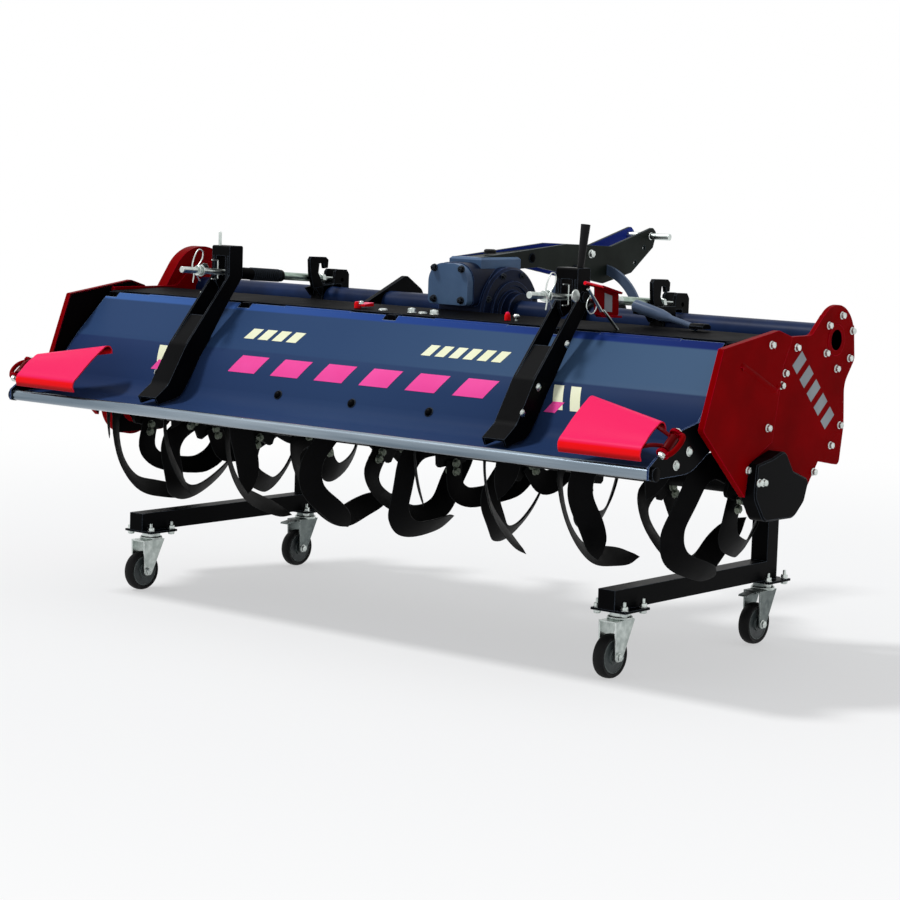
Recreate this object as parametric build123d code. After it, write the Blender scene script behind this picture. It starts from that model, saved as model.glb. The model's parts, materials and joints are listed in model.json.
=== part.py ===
from build123d import *
import math
import os

# Rotary tiller parked on two caster stands, an assembly of separate pieces.
# Millimetres, +Z up, +Y towards the tractor, +X to the machine's right.
# Outlines are drawn from four anchors: the main pipe, the rotor, the cover's
# hinge and the cover's bar. The floor is at Z 0.

# Anchors, each a place in Y and Z
pipe_y = 300.0
pipe_z = 827.0
rotor_y = 20.0
rotor_z = 496.0
hinge_y = -97.0
hinge_z = 822.0
bar_y = -450.0
bar_z = 547.0

# Working width
half_width = 1109.0
plate_t = 12.0
case_depth = 44.0
cap_depth = 42.0
guard_depth = 16.0
guard_sheet = 4.0

# Main pipe
pipe_r = 38.15
pipe_bore = 26.0
pipe_recess = 24.0
ear_r = 87.0

# Rotor
tine_reach = 268.0
tube_r = 40.0
stub_r = 25.0
bearing_gap = 0.05
boss_r = 55.0
boss_depth = 23.0
tube_end_gap = 14.0
flange_count = 10
flange_side = 122.0
flange_t = 10.0
flange_inset = 29.5
tines_each = 4
tine_first_deg = 168.0
tine_step_deg = 39.3
tine_wide = 60.0
tine_thick = 9.0
tine_root = 46.0
tine_sink = 1.0
tine_side = 92.0
tine_neck = 120.0
hook_y = -127.0
hook_z = 43.0
hook_inner_r = 88.0
hook_outer_r = 135.0
hook_steps = 6

# Hood, cover and their hinge
hood_sheet = 5.0
cover_sheet = 5.0
cover_gap = 11.0
end_sheet = 6.0
bar_r = 15.0
bar_over = 14.0
hinge_rod_r = 5.0
hinge_bore_gap = 0.06
knuckle_r = 9.0
knuckle_len = 240.0
knuckle_count = 4
lug_len = 30.0
hinge_end_gap = 22.0

# Hanger arms, rods and lock
arm_x = 597.0
arm_half = 34.0
arm_sheet = 6.0
rod_r = 8.5
rod_gap = 8.5
head_t = 8.0
rod_front_y = 342.0
rod_front_z = 884.0
rod_rear_y = -290.0
rod_rear_z = 922.0
lock_gap = 18.0
lock_t = 8.0

# Gearbox, input and upper hitch
drum_r = 128.0
drum_right = 85.0
drum_left = 75.0
neck_r = 58.0
neck_x = 120.0
pinion_z = 908.0
pinion_wide = 142.0
pinion_high = 116.0
pinion_rear = 150.0
lid_t = 24.0
input_z = 800.0
input_r = 17.4
input_out = 110.0
journal_r = 22.0
journal_len = 40.0
nose_r = 54.0
nose_front = 498.0
mast_x = 44.0
mast_t = 9.0
mast_hole_r = 7.0
top_pin_y = 1012.0
top_pin_z = 1034.0
top_pin_r = 9.5
top_pin_out = 66.0
top_pin_body_r = 11.0
hoop_y = 800.0
hoop_z = 780.0
hoop_r = 178.0
hoop_wide = 28.0
hoop_t = 8.0

# Lower hitch
hitch_x = 360.0
hitch_t = 14.0
link_pin_y = 615.0
link_pin_z = 565.0
link_pin_r = 14.0
link_pin_len = 95.0

# Parking stands and casters
stand_x = 820.0
tube_side = 50.0
stand_top = 221.0
stand_rear = -233.0
post_y = 475.0
post_top = 800.0
foot_half = 52.0
foot_t = 6.0
swivel_rear_y = -173.0
swivel_front_y = 475.0
wheel_r = 55.0
wheel_w = 32.0
wheel_trail = 36.0
axle_r = 6.0
axle_gap = 0.08
fork_sheet = 4.0
fork_room = 6.0
swivel_r = 26.0
swivel_high = 22.0

# Wings folded on the cover
wing_axis_y = -411.0
wing_axis_z = 616.0
wing_axis_out = 20.0
wing_lean = (0.0, 59.0, 48.0)
wing_pin_r = 6.0
wing_bore_gap = 0.08
wing_wide = 234.0
wing_sheet = 5.0

# Places that follow from the sizes above
plate_in = half_width - plate_t
tube_half = plate_in - boss_depth - tube_end_gap
cover_half = plate_in - cover_gap
bar_half = cover_half + bar_over
foot_z = stand_top - tube_side - foot_t
wing_outer = cover_half - wing_axis_out
wing_inner = wing_outer - wing_wide
wing_axis_x = cover_half + wing_axis_out
everywhere = 3 * half_width

plan = {}


def from_pipe(dy, dz, *soft):
    """Corner placed from the main pipe's axis."""
    return (pipe_y + dy, pipe_z + dz, *soft)


def from_rotor(dy, dz, *soft):
    """Corner placed from the rotor's axis."""
    return (rotor_y + dy, rotor_z + dz, *soft)


def from_hinge(dy, dz, *soft):
    """Corner placed from the cover's hinge."""
    return (hinge_y + dy, hinge_z + dz, *soft)


def from_bar(dy, dz, *soft):
    """Corner placed from the bar along the cover's edge."""
    return (bar_y + dy, bar_z + dz, *soft)


def outline(corners):
    """Flat face; a corner's third value is the radius of its round."""
    spots = [Vector(corner[0], corner[1]) for corner in corners]
    cuts = []
    for place, here in enumerate(spots):
        back = (spots[place - 1] - here).normalized()
        ahead = (spots[(place + 1) % len(spots)] - here).normalized()
        if len(corners[place]) < 3:
            cuts.append((here, None, here))
            continue
        radius = corners[place][2]
        half = math.radians(back.get_angle(ahead)) / 2
        run = radius / math.tan(half)
        inward = (back + ahead).normalized() * (radius / math.sin(half) - radius)
        cuts.append((here + back * run, here + inward, here + ahead * run))
    edges = []
    for place, (start, middle, end) in enumerate(cuts):
        if middle is not None:
            edges.append(ThreePointArc(start, middle, end))
        edges.append(Line(end, cuts[(place + 1) % len(cuts)][0]))
    return make_face(edges)


def across(flat, start, depth):
    """Flat face in Y and Z made solid along X from start over depth."""
    plane = Plane(origin=(start, 0, 0), x_dir=(0, 1, 0), z_dir=(1, 0, 0))
    return extrude(plane * flat, depth)


def across_middle(flat, centre, depth):
    """Flat face in Y and Z made solid along X to both sides of centre."""
    return across(flat, centre - depth / 2, depth)


def along_y(flat, start, depth):
    """Flat face in X and Z made solid along Y from start over depth."""
    plane = Plane(origin=(0, start, 0), x_dir=(-1, 0, 0), z_dir=(0, 1, 0))
    return extrude(plane * flat, depth)


def round_x(spot, radius, start, end):
    """Round bar along X between two ends, about a place in Y and Z."""
    middle = Pos((start + end) / 2, spot[0], spot[1])
    return middle * Rot(0, 90, 0) * Cylinder(radius, end - start)


def round_y(spot, radius, start, end):
    """Round bar along Y between two ends, about a place in X and Z."""
    middle = Pos(spot[0], (start + end) / 2, spot[1])
    return middle * Rot(90, 0, 0) * Cylinder(radius, end - start)


def bent_sheet(line, thick):
    """Outline of a bent sheet to the left of a line whose bends have inside radii."""
    near = []
    far = []
    for place, spot in enumerate(line):
        here = Vector(spot[0], spot[1])
        before = Vector(*line[max(place - 1, 0)][:2])
        after = Vector(*line[min(place + 1, len(line) - 1)][:2])
        into = (here - before if place else after - here).normalized()
        out = (after - here if place < len(line) - 1 else here - before).normalized()
        left = Vector(-into.Y, into.X) + Vector(-out.Y, out.X)
        other = here + left * (thick / (1 + into.dot(out)))
        if len(spot) < 3:
            near.append((here.X, here.Y))
            far.append((other.X, other.Y))
            continue
        leftward = into.X * out.Y - into.Y * out.X > 0
        near.append((here.X, here.Y, spot[2] + thick if leftward else spot[2]))
        far.append((other.X, other.Y, spot[2] if leftward else spot[2] + thick))
    return outline(near + far[::-1])


def belt(high, high_r, low, low_r):
    """Flat face round two circles of unlike size."""
    run = Vector(low[0] - high[0], low[1] - high[1])
    heading = math.atan2(run.Y, run.X)
    lean = math.acos((high_r - low_r) / run.length)

    def rim(centre, radius, angle):
        return Vector(centre[0] + radius * math.cos(angle), centre[1] + radius * math.sin(angle))

    edges = [
        Line(rim(high, high_r, heading + lean), rim(low, low_r, heading + lean)),
        ThreePointArc(
            rim(low, low_r, heading + lean), rim(low, low_r, heading),
            rim(low, low_r, heading - lean)),
        Line(rim(low, low_r, heading - lean), rim(high, high_r, heading - lean)),
        ThreePointArc(
            rim(high, high_r, heading - lean), rim(high, high_r, heading + math.pi),
            rim(high, high_r, heading + lean)),
    ]
    return make_face(edges)


def mirror_x(shape):
    """Same shape on the other side of the machine."""
    return mirror(shape, about=Plane.YZ)


pipe_spot = (pipe_y, pipe_z)
rotor_spot = (rotor_y, rotor_z)
hinge_spot = (hinge_y, hinge_z)
bar_spot = (bar_y, bar_z)
pipe_core = round_x(pipe_spot, pipe_r, -everywhere, everywhere)


def main_pipe():
    """Pipe across the whole frame with a recess in each end."""
    pipe = round_x(pipe_spot, pipe_r, -half_width, half_width)
    recess = round_x(pipe_spot, pipe_bore, half_width - pipe_recess, half_width)
    return pipe - recess - mirror_x(recess)


def side_plate():
    """Right main plate: ear round the pipe, tail to the hinge, boss at the rotor."""
    body = outline([
        from_hinge(27, 20), from_pipe(-116, 15, 30), from_pipe(-62, 63), from_pipe(84, 33),
        from_pipe(94, -52, 25), from_pipe(48, -111, 60), from_pipe(56, -217),
        from_pipe(40, -316, 14), from_rotor(220, 32), from_rotor(128, -84, 60),
        from_rotor(-80, -84, 30), from_rotor(-102, 6), from_rotor(-78, 124),
        from_hinge(27, -32),
    ])
    ear = across(Pos(pipe_y, pipe_z) * Circle(ear_r), plate_in, plate_t)
    plate = across(body, plate_in, plate_t) + ear
    plate = plate + round_x(rotor_spot, boss_r, plate_in - boss_depth, half_width)
    plate = plate - pipe_core
    return plate - round_x(rotor_spot, stub_r + bearing_gap, 0, everywhere)


def bearing_cover():
    """Cap over the right bearing with its tail to the rear."""
    flat = outline([
        from_rotor(0, 80, 25), from_rotor(-58, 63, 15), from_rotor(-123, 52, 8),
        from_rotor(-129, -27, 30), from_rotor(-84, -88, 30), from_rotor(52, -90, 40),
        from_rotor(95, -54, 30), from_rotor(114, 0, 14), from_rotor(40, 26, 20),
    ])
    cap = across(flat, half_width, cap_depth)
    rim = cap.faces().sort_by(Axis.X)[-1].edges()
    return chamfer(rim, 4)


def chain_case():
    """Left chain case, round about the pipe and round about the rotor."""
    flat = belt(pipe_spot, 130, rotor_spot, 92)
    case = across(flat, -half_width - case_depth, case_depth)
    rim = case.faces().sort_by(Axis.X)[0].edges()
    return chamfer(rim, 7)


def side_guard():
    """Right guard, a shallow tray that is open towards the main plate."""
    flat = outline([
        from_hinge(-134, 4, 6), from_hinge(104, 39, 10), from_hinge(167, 21, 8),
        from_hinge(128, -50, 60), from_rotor(-22, 98), from_rotor(-120, 52),
        from_rotor(-134, -27), from_rotor(-323, 142, 10),
    ])
    tray = across(flat, half_width, guard_depth)
    room = offset(flat, amount=-guard_sheet, kind=Kind.INTERSECTION)
    return tray - across(room, half_width, guard_depth - guard_sheet)


def gearbox():
    """Drum round the pipe with the pinion's housing behind and its nose ahead."""
    drum = round_x(pipe_spot, drum_r, -drum_left, drum_right)
    drum = chamfer(drum.edges().filter_by(GeomType.CIRCLE), 7)
    body = drum + round_x(pipe_spot, neck_r, -neck_x, neck_x)
    rear = along_y(pinion_flat(0), pinion_rear, pipe_y - pinion_rear)
    body = body + rear
    turret = Pos(0, pipe_y - 10, 0) * Box(96, 130, 2 * (mast_low + 26))
    body = body + (turret & Pos(0, 0, pipe_z + 500) * Box(400, 800, 1000))
    nose = round_y((0, input_z), nose_r, pipe_y, nose_front)
    web = across_middle(outline([
        from_pipe(60, 100), from_pipe(150, 40, 40), (nose_front - 8, input_z),
        (nose_front - 8, input_z - 30), from_pipe(60, -90)]), 0, 60)
    body = body + nose + web - pipe_core
    return body - round_y((0, input_z), journal_r + bearing_gap, nose_front - journal_len, nose_front)


def pinion_flat(shrink):
    """Rear housing's outline in X and Z, narrower by shrink on every side."""
    half = pinion_wide / 2 - shrink
    low = pinion_z - pinion_high / 2 + shrink
    high = pinion_z + pinion_high / 2 - shrink
    return outline([
        (-half, low, 14), (half, low, 14), (half, high, 52), (-half, high, 52)])


mast_low = pinion_z + 32.0


def mast():
    """Two plates from the gearbox to the top link's pin, tied by a strip."""
    flat = outline([
        from_pipe(-95, 153), from_pipe(300, 187), from_pipe(515, 179),
        (top_pin_y + 10, top_pin_z + 26, 14), (top_pin_y + 30, top_pin_z + 10, 14),
        (top_pin_y + 14, top_pin_z - 33), (top_pin_y - 92, top_pin_z - 106, 20),
        from_pipe(480, 72), from_pipe(170, 123), (pipe_y - 95, mast_low),
    ])
    plate = across(flat, mast_x - mast_t, mast_t)
    both = plate + mirror_x(plate)
    strip = outline([
        from_pipe(-95, 151), from_pipe(300, 175), from_pipe(300, 168), from_pipe(-95, 144)])
    both = both + across_middle(strip, 0, 2 * (mast_x - mast_t) + 2)
    both = both - round_x((top_pin_y, top_pin_z), top_pin_body_r, -2 * mast_x, 2 * mast_x)
    for back in (32, 75):
        both = both - round_x((top_pin_y - back, top_pin_z - back - 2), mast_hole_r, -2 * mast_x, 2 * mast_x)
    return both


def link_pin():
    """Top link's pin, thick through the plates and turned down outside."""
    spot = (top_pin_y, top_pin_z)
    body = round_x(spot, top_pin_body_r, -mast_x - 8, mast_x + 2)
    return body + round_x(spot, top_pin_r, mast_x + 2, mast_x + 2 + top_pin_out)


def hitch():
    """Right lower hitch plate, clasping the pipe, with its link pin."""
    flat = outline([
        from_pipe(-95, 11), from_pipe(70, 82, 22), from_pipe(142, 38, 25),
        from_pipe(176, -70), (link_pin_y + 44, link_pin_z + 30, 25),
        (link_pin_y + 30, link_pin_z - 38, 25), (link_pin_y - 50, link_pin_z - 20),
        from_pipe(120, -180, 60), from_pipe(-70, -45),
    ])
    plate = across_middle(flat, hitch_x, hitch_t) - pipe_core
    face = hitch_x + hitch_t / 2
    spot = (link_pin_y, link_pin_z)
    return plate + round_x(spot, link_pin_r, face, face + link_pin_len)


def hood_lug(lug_x):
    """Lug under the hood's rear edge that carries the hinge rod."""
    flat = outline([
        from_hinge(-8, -7), from_hinge(34, -7), from_hinge(34, 9), from_hinge(-8, 9)])
    return across_middle(flat, lug_x, lug_len)


hinge_half = cover_half - hinge_end_gap
hinge_step = 2 * hinge_half / knuckle_count
lug_places = [-hinge_half + hinge_step * place for place in range(knuckle_count + 1)]
knuckle_places = [lug + hinge_step / 2 for lug in lug_places[:-1]]


def hood():
    """Bent sheet over the rotor, with the hinge rod in its lugs."""
    line = [
        from_pipe(45, -227), from_pipe(30, -137, 90), from_pipe(-38, -37, 70),
        (pipe_y - 150, hinge_z + 16, 60), from_hinge(19, 11),
    ]
    sheet = across(bent_sheet(line, hood_sheet), -plate_in, 2 * plate_in)
    notch = across_middle(
        outline([from_pipe(-160, -140), from_pipe(140, -140), from_pipe(140, 60), from_pipe(-160, 60)]),
        0, 2 * neck_x + 8)
    sheet = sheet - hitch_right - mirror_x(hitch_right) - notch
    sheet = sheet + round_x(hinge_spot, hinge_rod_r, -hinge_half - lug_len / 2, hinge_half + lug_len / 2)
    for lug_x in lug_places:
        sheet = sheet + hood_lug(lug_x)
    return sheet


def input_guard():
    """Open hoop ahead of the input shaft on two flat stays."""
    ring = Circle(hoop_r) - Circle(hoop_r - hoop_wide)
    ring = ring - Pos(0, -hoop_r) * Rectangle(3 * hoop_r, 2 * (hoop_r - 40))
    hoop = along_y(Pos(0, hoop_z) * ring, hoop_y - hoop_t / 2, hoop_t)
    foot_x = hoop_r - hoop_wide
    stay_high = Rectangle(hoop_t, 40)
    stay = along_y(Pos(-foot_x - hoop_t / 2, hoop_z - 18) * stay_high, nose_front - 28, hoop_y - nose_front + 24)
    foot = along_y(
        Pos(-(foot_x + hoop_t + nose_r - 4) / 2, hoop_z - 18) * Rectangle(foot_x + hoop_t - nose_r + 4, 40),
        nose_front - 28, hoop_t)
    side = stay + foot
    return hoop + side + mirror_x(side)


def input_shaft():
    """Shaft end with a thicker journal in the gearbox's nose."""
    spot = (0, input_z)
    journal = round_y(spot, journal_r, nose_front - journal_len + 2, nose_front)
    return journal + round_y(spot, input_r, nose_front, nose_front + input_out)


rod_line = Vector(0, rod_rear_y - rod_front_y, rod_rear_z - rod_front_z)
rod_plane = Plane(origin=(arm_x, rod_front_y, rod_front_z), x_dir=(1, 0, 0), z_dir=rod_line)


def rod():
    """Right rod: cross pin, thin shank, sleeve and plain rear end."""
    steps = [
        (2, 240, 7), (240, 420, 11), (420, rod_line.length, rod_r)]
    corners = [(0, steps[0][0])]
    for start, end, radius in steps:
        corners.append((radius, start))
        corners.append((radius, end))
    corners.append((0, steps[-1][1]))
    half = Plane(origin=rod_plane.origin, x_dir=(1, 0, 0), z_dir=rod_plane.y_dir * -1) * outline(corners)
    body = revolve(half, Axis(rod_plane.origin, rod_plane.z_dir), 360)
    return body + round_x((rod_front_y, rod_front_z), 6, arm_x - 22, arm_x + 22)


def rod_bracket():
    """Right bracket: two claws on a saddle that clasps the pipe."""
    claw = outline([
        from_pipe(-75, 126), from_pipe(-38, 111), from_pipe(-38, 55, 16),
        from_pipe(18, 46), from_pipe(60, 74), from_pipe(68, 36), from_pipe(30, -20),
        from_pipe(-46, 0), from_pipe(-68, 53),
    ])
    body = across(claw, arm_x + 14, 8) + across(claw, arm_x - 22, 8)
    saddle = outline([
        from_pipe(-46, 0), from_pipe(-36, 46), from_pipe(40, 46), from_pipe(44, 0)])
    body = body + across_middle(saddle, arm_x, 44)
    return body - pipe_core - rod_right


def stay():
    """Stay from the right arm's bracket to the pipe's right half."""
    start = Vector(arm_x + 39, 100, pipe_z + 62)
    slope = Vector(195, 0, -46)
    plane = Plane(origin=start, z_dir=slope)
    body = plane * Pos(0, 0, 50) * Cylinder(13, 100)
    body = body + plane * Pos(0, 0, 150) * Cylinder(8, 110)
    foot = outline([(80, pipe_z + 7), (122, pipe_z + 7), (122, pipe_z + 29, 8), (80, pipe_z + 29, 8)])
    body = body + across(foot, start.X + 176, 46)
    arm = outline([(92, pipe_z + 41), (270, pipe_z + 20), (270, pipe_z + 56), (92, pipe_z + 59)])
    body = body + across(arm, start.X, 12)
    return body - hood_sheet_solid - pipe_core


def stand():
    """Right stand: tube under the rotor, post, arm and saddle on the pipe."""
    low = stand_top - tube_side
    half = tube_side / 2
    flat = outline([
        (stand_rear, low), (post_y + half, low), (post_y + half, post_top),
        from_pipe(46, post_top - pipe_z), from_pipe(46, post_top - pipe_z - tube_side),
        (post_y - half, post_top - tube_side), (post_y - half, stand_top), (stand_rear, stand_top),
    ])
    body = across_middle(flat, stand_x, tube_side)
    saddle = outline([
        from_pipe(6, -60), from_pipe(54, -60, 8), from_pipe(54, 20, 8), from_pipe(24, 20)])
    body = body + across_middle(saddle, stand_x, tube_side + 12)
    for foot_y in (swivel_rear_y, swivel_front_y):
        foot = outline([
            (foot_y - foot_half, foot_z), (foot_y + foot_half, foot_z),
            (foot_y + foot_half, foot_z + foot_t), (foot_y - foot_half, foot_z + foot_t)])
        body = body + across_middle(foot, stand_x, 2 * foot_half)
    return body - pipe_core


def fork(swivel_y, brake):
    """Right caster fork: swivel head over a folded channel with the wheel's axle."""
    axle_y = swivel_y - wheel_trail
    axle_z = wheel_r
    crown_z = foot_z - swivel_high
    inner = wheel_w / 2 + fork_room
    side = outline([
        (axle_y - 16, crown_z), (axle_y - 12, axle_z - 12, 10), (axle_y + 14, axle_z - 12, 10),
        (swivel_y + 28, crown_z)])
    body = across_middle(side, stand_x, 2 * (inner + fork_sheet))
    gap = outline([
        (axle_y - 90, crown_z - fork_sheet), (axle_y - 90, 0), (swivel_y + 90, 0),
        (swivel_y + 90, crown_z - fork_sheet)])
    body = body - across_middle(gap, stand_x, 2 * inner)
    body = body + Pos(stand_x, swivel_y, foot_z - swivel_high / 2) * Cylinder(swivel_r, swivel_high)
    body = body + round_x((axle_y, axle_z), axle_r, stand_x - inner - fork_sheet, stand_x + inner + fork_sheet)
    if brake:
        pedal = outline([
            (axle_y - 10, crown_z), (axle_y - 58, crown_z - 6), (axle_y - 60, crown_z - 11),
            (axle_y - 10, crown_z - 6)])
        body = body + across_middle(pedal, stand_x, tube_side * 0.56)
    return body


def wheel(swivel_y):
    """Right caster wheel bored for its axle."""
    spot = (swivel_y - wheel_trail, wheel_r)
    tyre = round_x(spot, wheel_r, stand_x - wheel_w / 2, stand_x + wheel_w / 2)
    return tyre - round_x(spot, axle_r + axle_gap, stand_x - wheel_w, stand_x + wheel_w)


cover_line = [
    from_hinge(-4, 7.5), from_hinge(-148, -128.5, 235), from_hinge(-211, -254, 82), from_bar(10, 6)]


def cover_panel():
    """Bent cover with end plates, hinge knuckles and a groove for the bar."""
    panel = across(bent_sheet(cover_line, cover_sheet), -cover_half, 2 * cover_half)
    notch = outline([from_hinge(-17, -22), from_hinge(17, -22), from_hinge(17, 18), from_hinge(-17, 18)])
    for lug_x in lug_places:
        panel = panel - across_middle(notch, lug_x, lug_len + 14)
    for knuckle_x in knuckle_places:
        panel = panel + round_x(
            hinge_spot, knuckle_r, knuckle_x - knuckle_len / 2, knuckle_x + knuckle_len / 2)
    end = across(outline([
        from_hinge(-25, -19), from_hinge(-118, -105), from_hinge(-173, -167),
        from_bar(76, 87), from_bar(13, 37), from_bar(-19, 16),
        from_bar(-19, -13), from_bar(150, -10, 120), from_hinge(-63, -202, 120),
        from_hinge(-23, -122)]), cover_half, end_sheet)
    panel = panel + end + mirror_x(end)
    panel = panel - round_x(hinge_spot, hinge_rod_r + hinge_bore_gap, -everywhere, everywhere)
    return panel - round_x(bar_spot, bar_r, -everywhere, everywhere)


arm_line = [
    from_hinge(-43, 140), from_hinge(9, 140), from_hinge(9, 78), from_hinge(-53, -2, 90),
    from_hinge(-188, -196), from_hinge(-222, -244, 60), from_bar(46, 14), from_bar(36, 33),
    from_bar(82, 65), from_bar(150, 173, 90), from_hinge(-43, 83),
]


def arm():
    """Right hanger arm: two side sheets, a web and slotted head plates for the rod."""
    side = outline(arm_line)
    body = across(side, arm_x - arm_half, arm_sheet)
    body = body + across(side, arm_x + arm_half - arm_sheet, arm_sheet)
    web = [from_bar(36, 33), from_bar(82, 65, 54), from_bar(150, 173, 54), from_hinge(-128, -25)]
    body = body + across_middle(bent_sheet(web[::-1], arm_sheet), arm_x, 2 * arm_half - 4)
    head = outline([
        from_hinge(-43, 140), from_hinge(9, 140), from_hinge(9, 58, 20), from_hinge(-28, 40),
        from_hinge(-43, 63)])
    slot = rod_gap + rod_r
    body = body + across(head, arm_x - slot - head_t, head_t) + across(head, arm_x + slot, head_t)
    cap = outline([
        from_hinge(-43, 136), from_hinge(9, 136), from_hinge(9, 164, 6), from_hinge(-43, 164, 6)])
    body = body + across_middle(cap, arm_x, 2 * arm_half)
    pivot = from_hinge(-19, 93)
    body = body + round_x(pivot, 13, arm_x + arm_half - 1, arm_x + arm_half + 9)
    return body - panel


def lock_lever():
    """Grip lever standing on the right arm's head."""
    grip = outline([(0, 0), (8, 0), (12, 112), (0, 112)])
    flat = Plane(origin=(0, 0, 0), x_dir=(1, 0, 0), z_dir=(0, -1, 0)) * grip
    turned = revolve(flat, Axis.Z, 360)
    return Pos(arm_x + 20, hinge_y - 15, hinge_z + 160) * Rot(-8, 0, 0) * turned - arm_right


def lock_bracket():
    """Lock plate beside the right arm with a foot on the rod."""
    flat = outline([
        from_hinge(-31, 126, 8), from_hinge(27, 126, 20), from_hinge(117, 108, 10),
        from_hinge(117, 58, 10), from_hinge(97, 50, 10), from_hinge(-13, 58, 10)])
    body = across(flat, arm_x + arm_half + lock_gap, lock_t)
    foot = outline([from_hinge(101, 66), from_hinge(115, 66), from_hinge(115, 90), from_hinge(101, 90)])
    return body + across(foot, arm_x, arm_half + lock_gap + 1) - rod_right


wing_plane = Plane(
    origin=(wing_axis_x, wing_axis_y, wing_axis_z), x_dir=(1, 0, 0), z_dir=wing_lean)


def wing():
    """Right wing: bent sheet folded on the cover, tapered, with its knuckle."""
    spot = (wing_axis_y, wing_axis_z)
    line = [
        (spot[0] - 55, spot[1] - 42), (spot[0] - 59, spot[1] - 18, 8), (spot[0] + 11, spot[1] + 36, 200),
        (spot[0] + 74, spot[1] + 96, 4), (spot[0] + 81, spot[1] + 86)]
    sheet = across(bent_sheet(line[::-1], wing_sheet), wing_inner, wing_wide)
    trim = extrude(Face(Wire.make_polygon([
        Vector(wing_inner - 1, spot[0] + 82, 0), Vector(wing_outer + 1, spot[0] + 34, 0),
        Vector(wing_outer + 1, spot[0] + 120, 0), Vector(wing_inner - 1, spot[0] + 120, 0)],
        close=True)), everywhere)
    sheet = sheet - trim
    knuckle = wing_plane * Cylinder(11, 44)
    tongue = wing_plane * Pos(-36, -18.5, 0) * Box(54, 5, 44)
    riser = wing_plane * Pos(-13, -12, 0) * Box(8, 18, 44)
    return sheet + tongue + riser + knuckle - wing_plane * Cylinder(wing_pin_r + wing_bore_gap, 80)


def wing_hinge():
    """Right wing's cradle: two cheeks and the pin on the cover's end plate."""
    cradle = wing_plane * Pos(-5, 17, 0) * Box(18, 6, 74)
    for end in (-33, 33):
        cradle = cradle + wing_plane * Pos(0, 3, end) * Box(28, 30, 8)
    return cradle + wing_plane * Cylinder(wing_pin_r, 78) - panel


def tine(hand):
    """Hooked blade through sections that flare to one side with their distance from the axis."""
    half = tine_wide / 2
    stations = [
        ((-half, tine_root), (half, tine_root)), ((-half, tine_neck - 12), (half, tine_neck + 8)),
        ((-half - 12, tine_neck + 3), (half - 18, tine_neck + 46)),
        ((-half - 45, tine_neck + 10), (half - 65, tine_neck + 62))]
    for step in range(hook_steps + 1):
        angle = math.pi / 2 * step / hook_steps
        out = Vector(-math.sin(angle), math.cos(angle))
        centre = Vector(hook_y, hook_z)
        stations.append((centre + out * hook_inner_r, centre + out * hook_outer_r))
    tip = Vector(-tine_reach + 33, -tine_reach / 2 + 8)
    stations += [((hook_y - hook_inner_r, -30), (hook_y - hook_outer_r, -30)),
                 ((hook_y - hook_inner_r, -80), tip + Vector(-17, 36)),
                 (tip + Vector(8, 14), tip)]
    start = flange_t / 2 - tine_sink

    def flared(spot):
        flat = Vector(spot)
        share = max(0, flat.length - tine_neck) / (tine_reach - tine_neck)
        return Vector(hand * (start + tine_side * share ** 1.5), flat.X, flat.Y)

    thick = Vector(hand * tine_thick, 0, 0)
    sections = []
    for inner, outer in stations:
        near, far = flared(inner), flared(outer)
        sections.append(Face(Wire.make_polygon([near, far, far + thick, near + thick], close=True)))
    return loft(sections, ruled=True)


def rotor():
    """Tube with stub ends and flanges that carry the tines in a helix."""
    body = round_x((0, 0), tube_r, -tube_half, tube_half)
    body = body + round_x((0, 0), stub_r, 2 - half_width, half_width - 2)
    square = Rectangle(flange_side, flange_side)
    blades = {1: tine(1), -1: tine(-1)}
    first = flange_inset - tube_half
    step = -2 * first / (flange_count - 1)
    pieces = []
    for place in range(flange_count):
        centre = first + step * place
        turn = tine_first_deg + tine_step_deg * place
        pieces.append(Rot(turn + 45, 0, 0) * across_middle(square, centre, flange_t))
        for blade in range(tines_each):
            hand = 1 if blade % 2 else -1
            if place in (0, flange_count - 1):
                hand = 1 if place == 0 else -1
            around = 90 - turn - blade * 360 / tines_each
            pieces.append(Pos(centre, 0, 0) * Rot(-around, 0, 0) * blades[hand])
    return Pos(0, rotor_y, rotor_z) * body.fuse(*pieces)


plan["main_pipe"] = main_pipe()
plan["gearbox"] = gearbox()
plan["gearbox_cover"] = along_y(pinion_flat(2), pinion_rear - lid_t, lid_t)
plan["side_plate_right"] = side_plate()
plan["side_plate_left"] = mirror_x(plan["side_plate_right"])
plan["bearing_cover"] = bearing_cover()
plan["chain_case"] = chain_case()
guard = side_guard()
plan["guard_right"] = guard - plan["bearing_cover"]
plan["guard_left"] = mirror_x(guard) - plan["chain_case"]
hitch_right = hitch()
plan["hitch_right"] = hitch_right
plan["hitch_left"] = mirror_x(hitch_right)
hood_sheet_solid = hood()
plan["hood"] = hood_sheet_solid
plan["input_guard"] = input_guard() - plan["gearbox"]
plan["mast"] = mast() - plan["gearbox"] - plan["input_guard"]
plan["link_pin"] = link_pin()
plan["input_shaft"] = input_shaft()
rod_right = rod()
plan["rod_right"] = rod_right
plan["rod_left"] = mirror_x(rod_right)
plan["rod_bracket_right"] = rod_bracket()
plan["rod_bracket_left"] = mirror_x(plan["rod_bracket_right"])
plan["stay"] = stay()
plan["stand_right"] = stand()
plan["stand_left"] = mirror_x(plan["stand_right"])
for end, place, brake in (("rear", swivel_rear_y, False), ("front", swivel_front_y, True)):
    for piece, shape in (("fork", fork(place, brake)), ("wheel", wheel(place))):
        plan[piece + "_" + end + "_right"] = shape
        plan[piece + "_" + end + "_left"] = mirror_x(shape)
panel = cover_panel()
plan["cover_panel"] = panel
plan["cover_bar"] = round_x(bar_spot, bar_r, -bar_half, bar_half)
arm_right = arm()
plan["arm_right"] = arm_right
plan["arm_left"] = mirror_x(arm_right)
plan["lock_lever"] = lock_lever()
plan["lock_bracket"] = lock_bracket()
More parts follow.
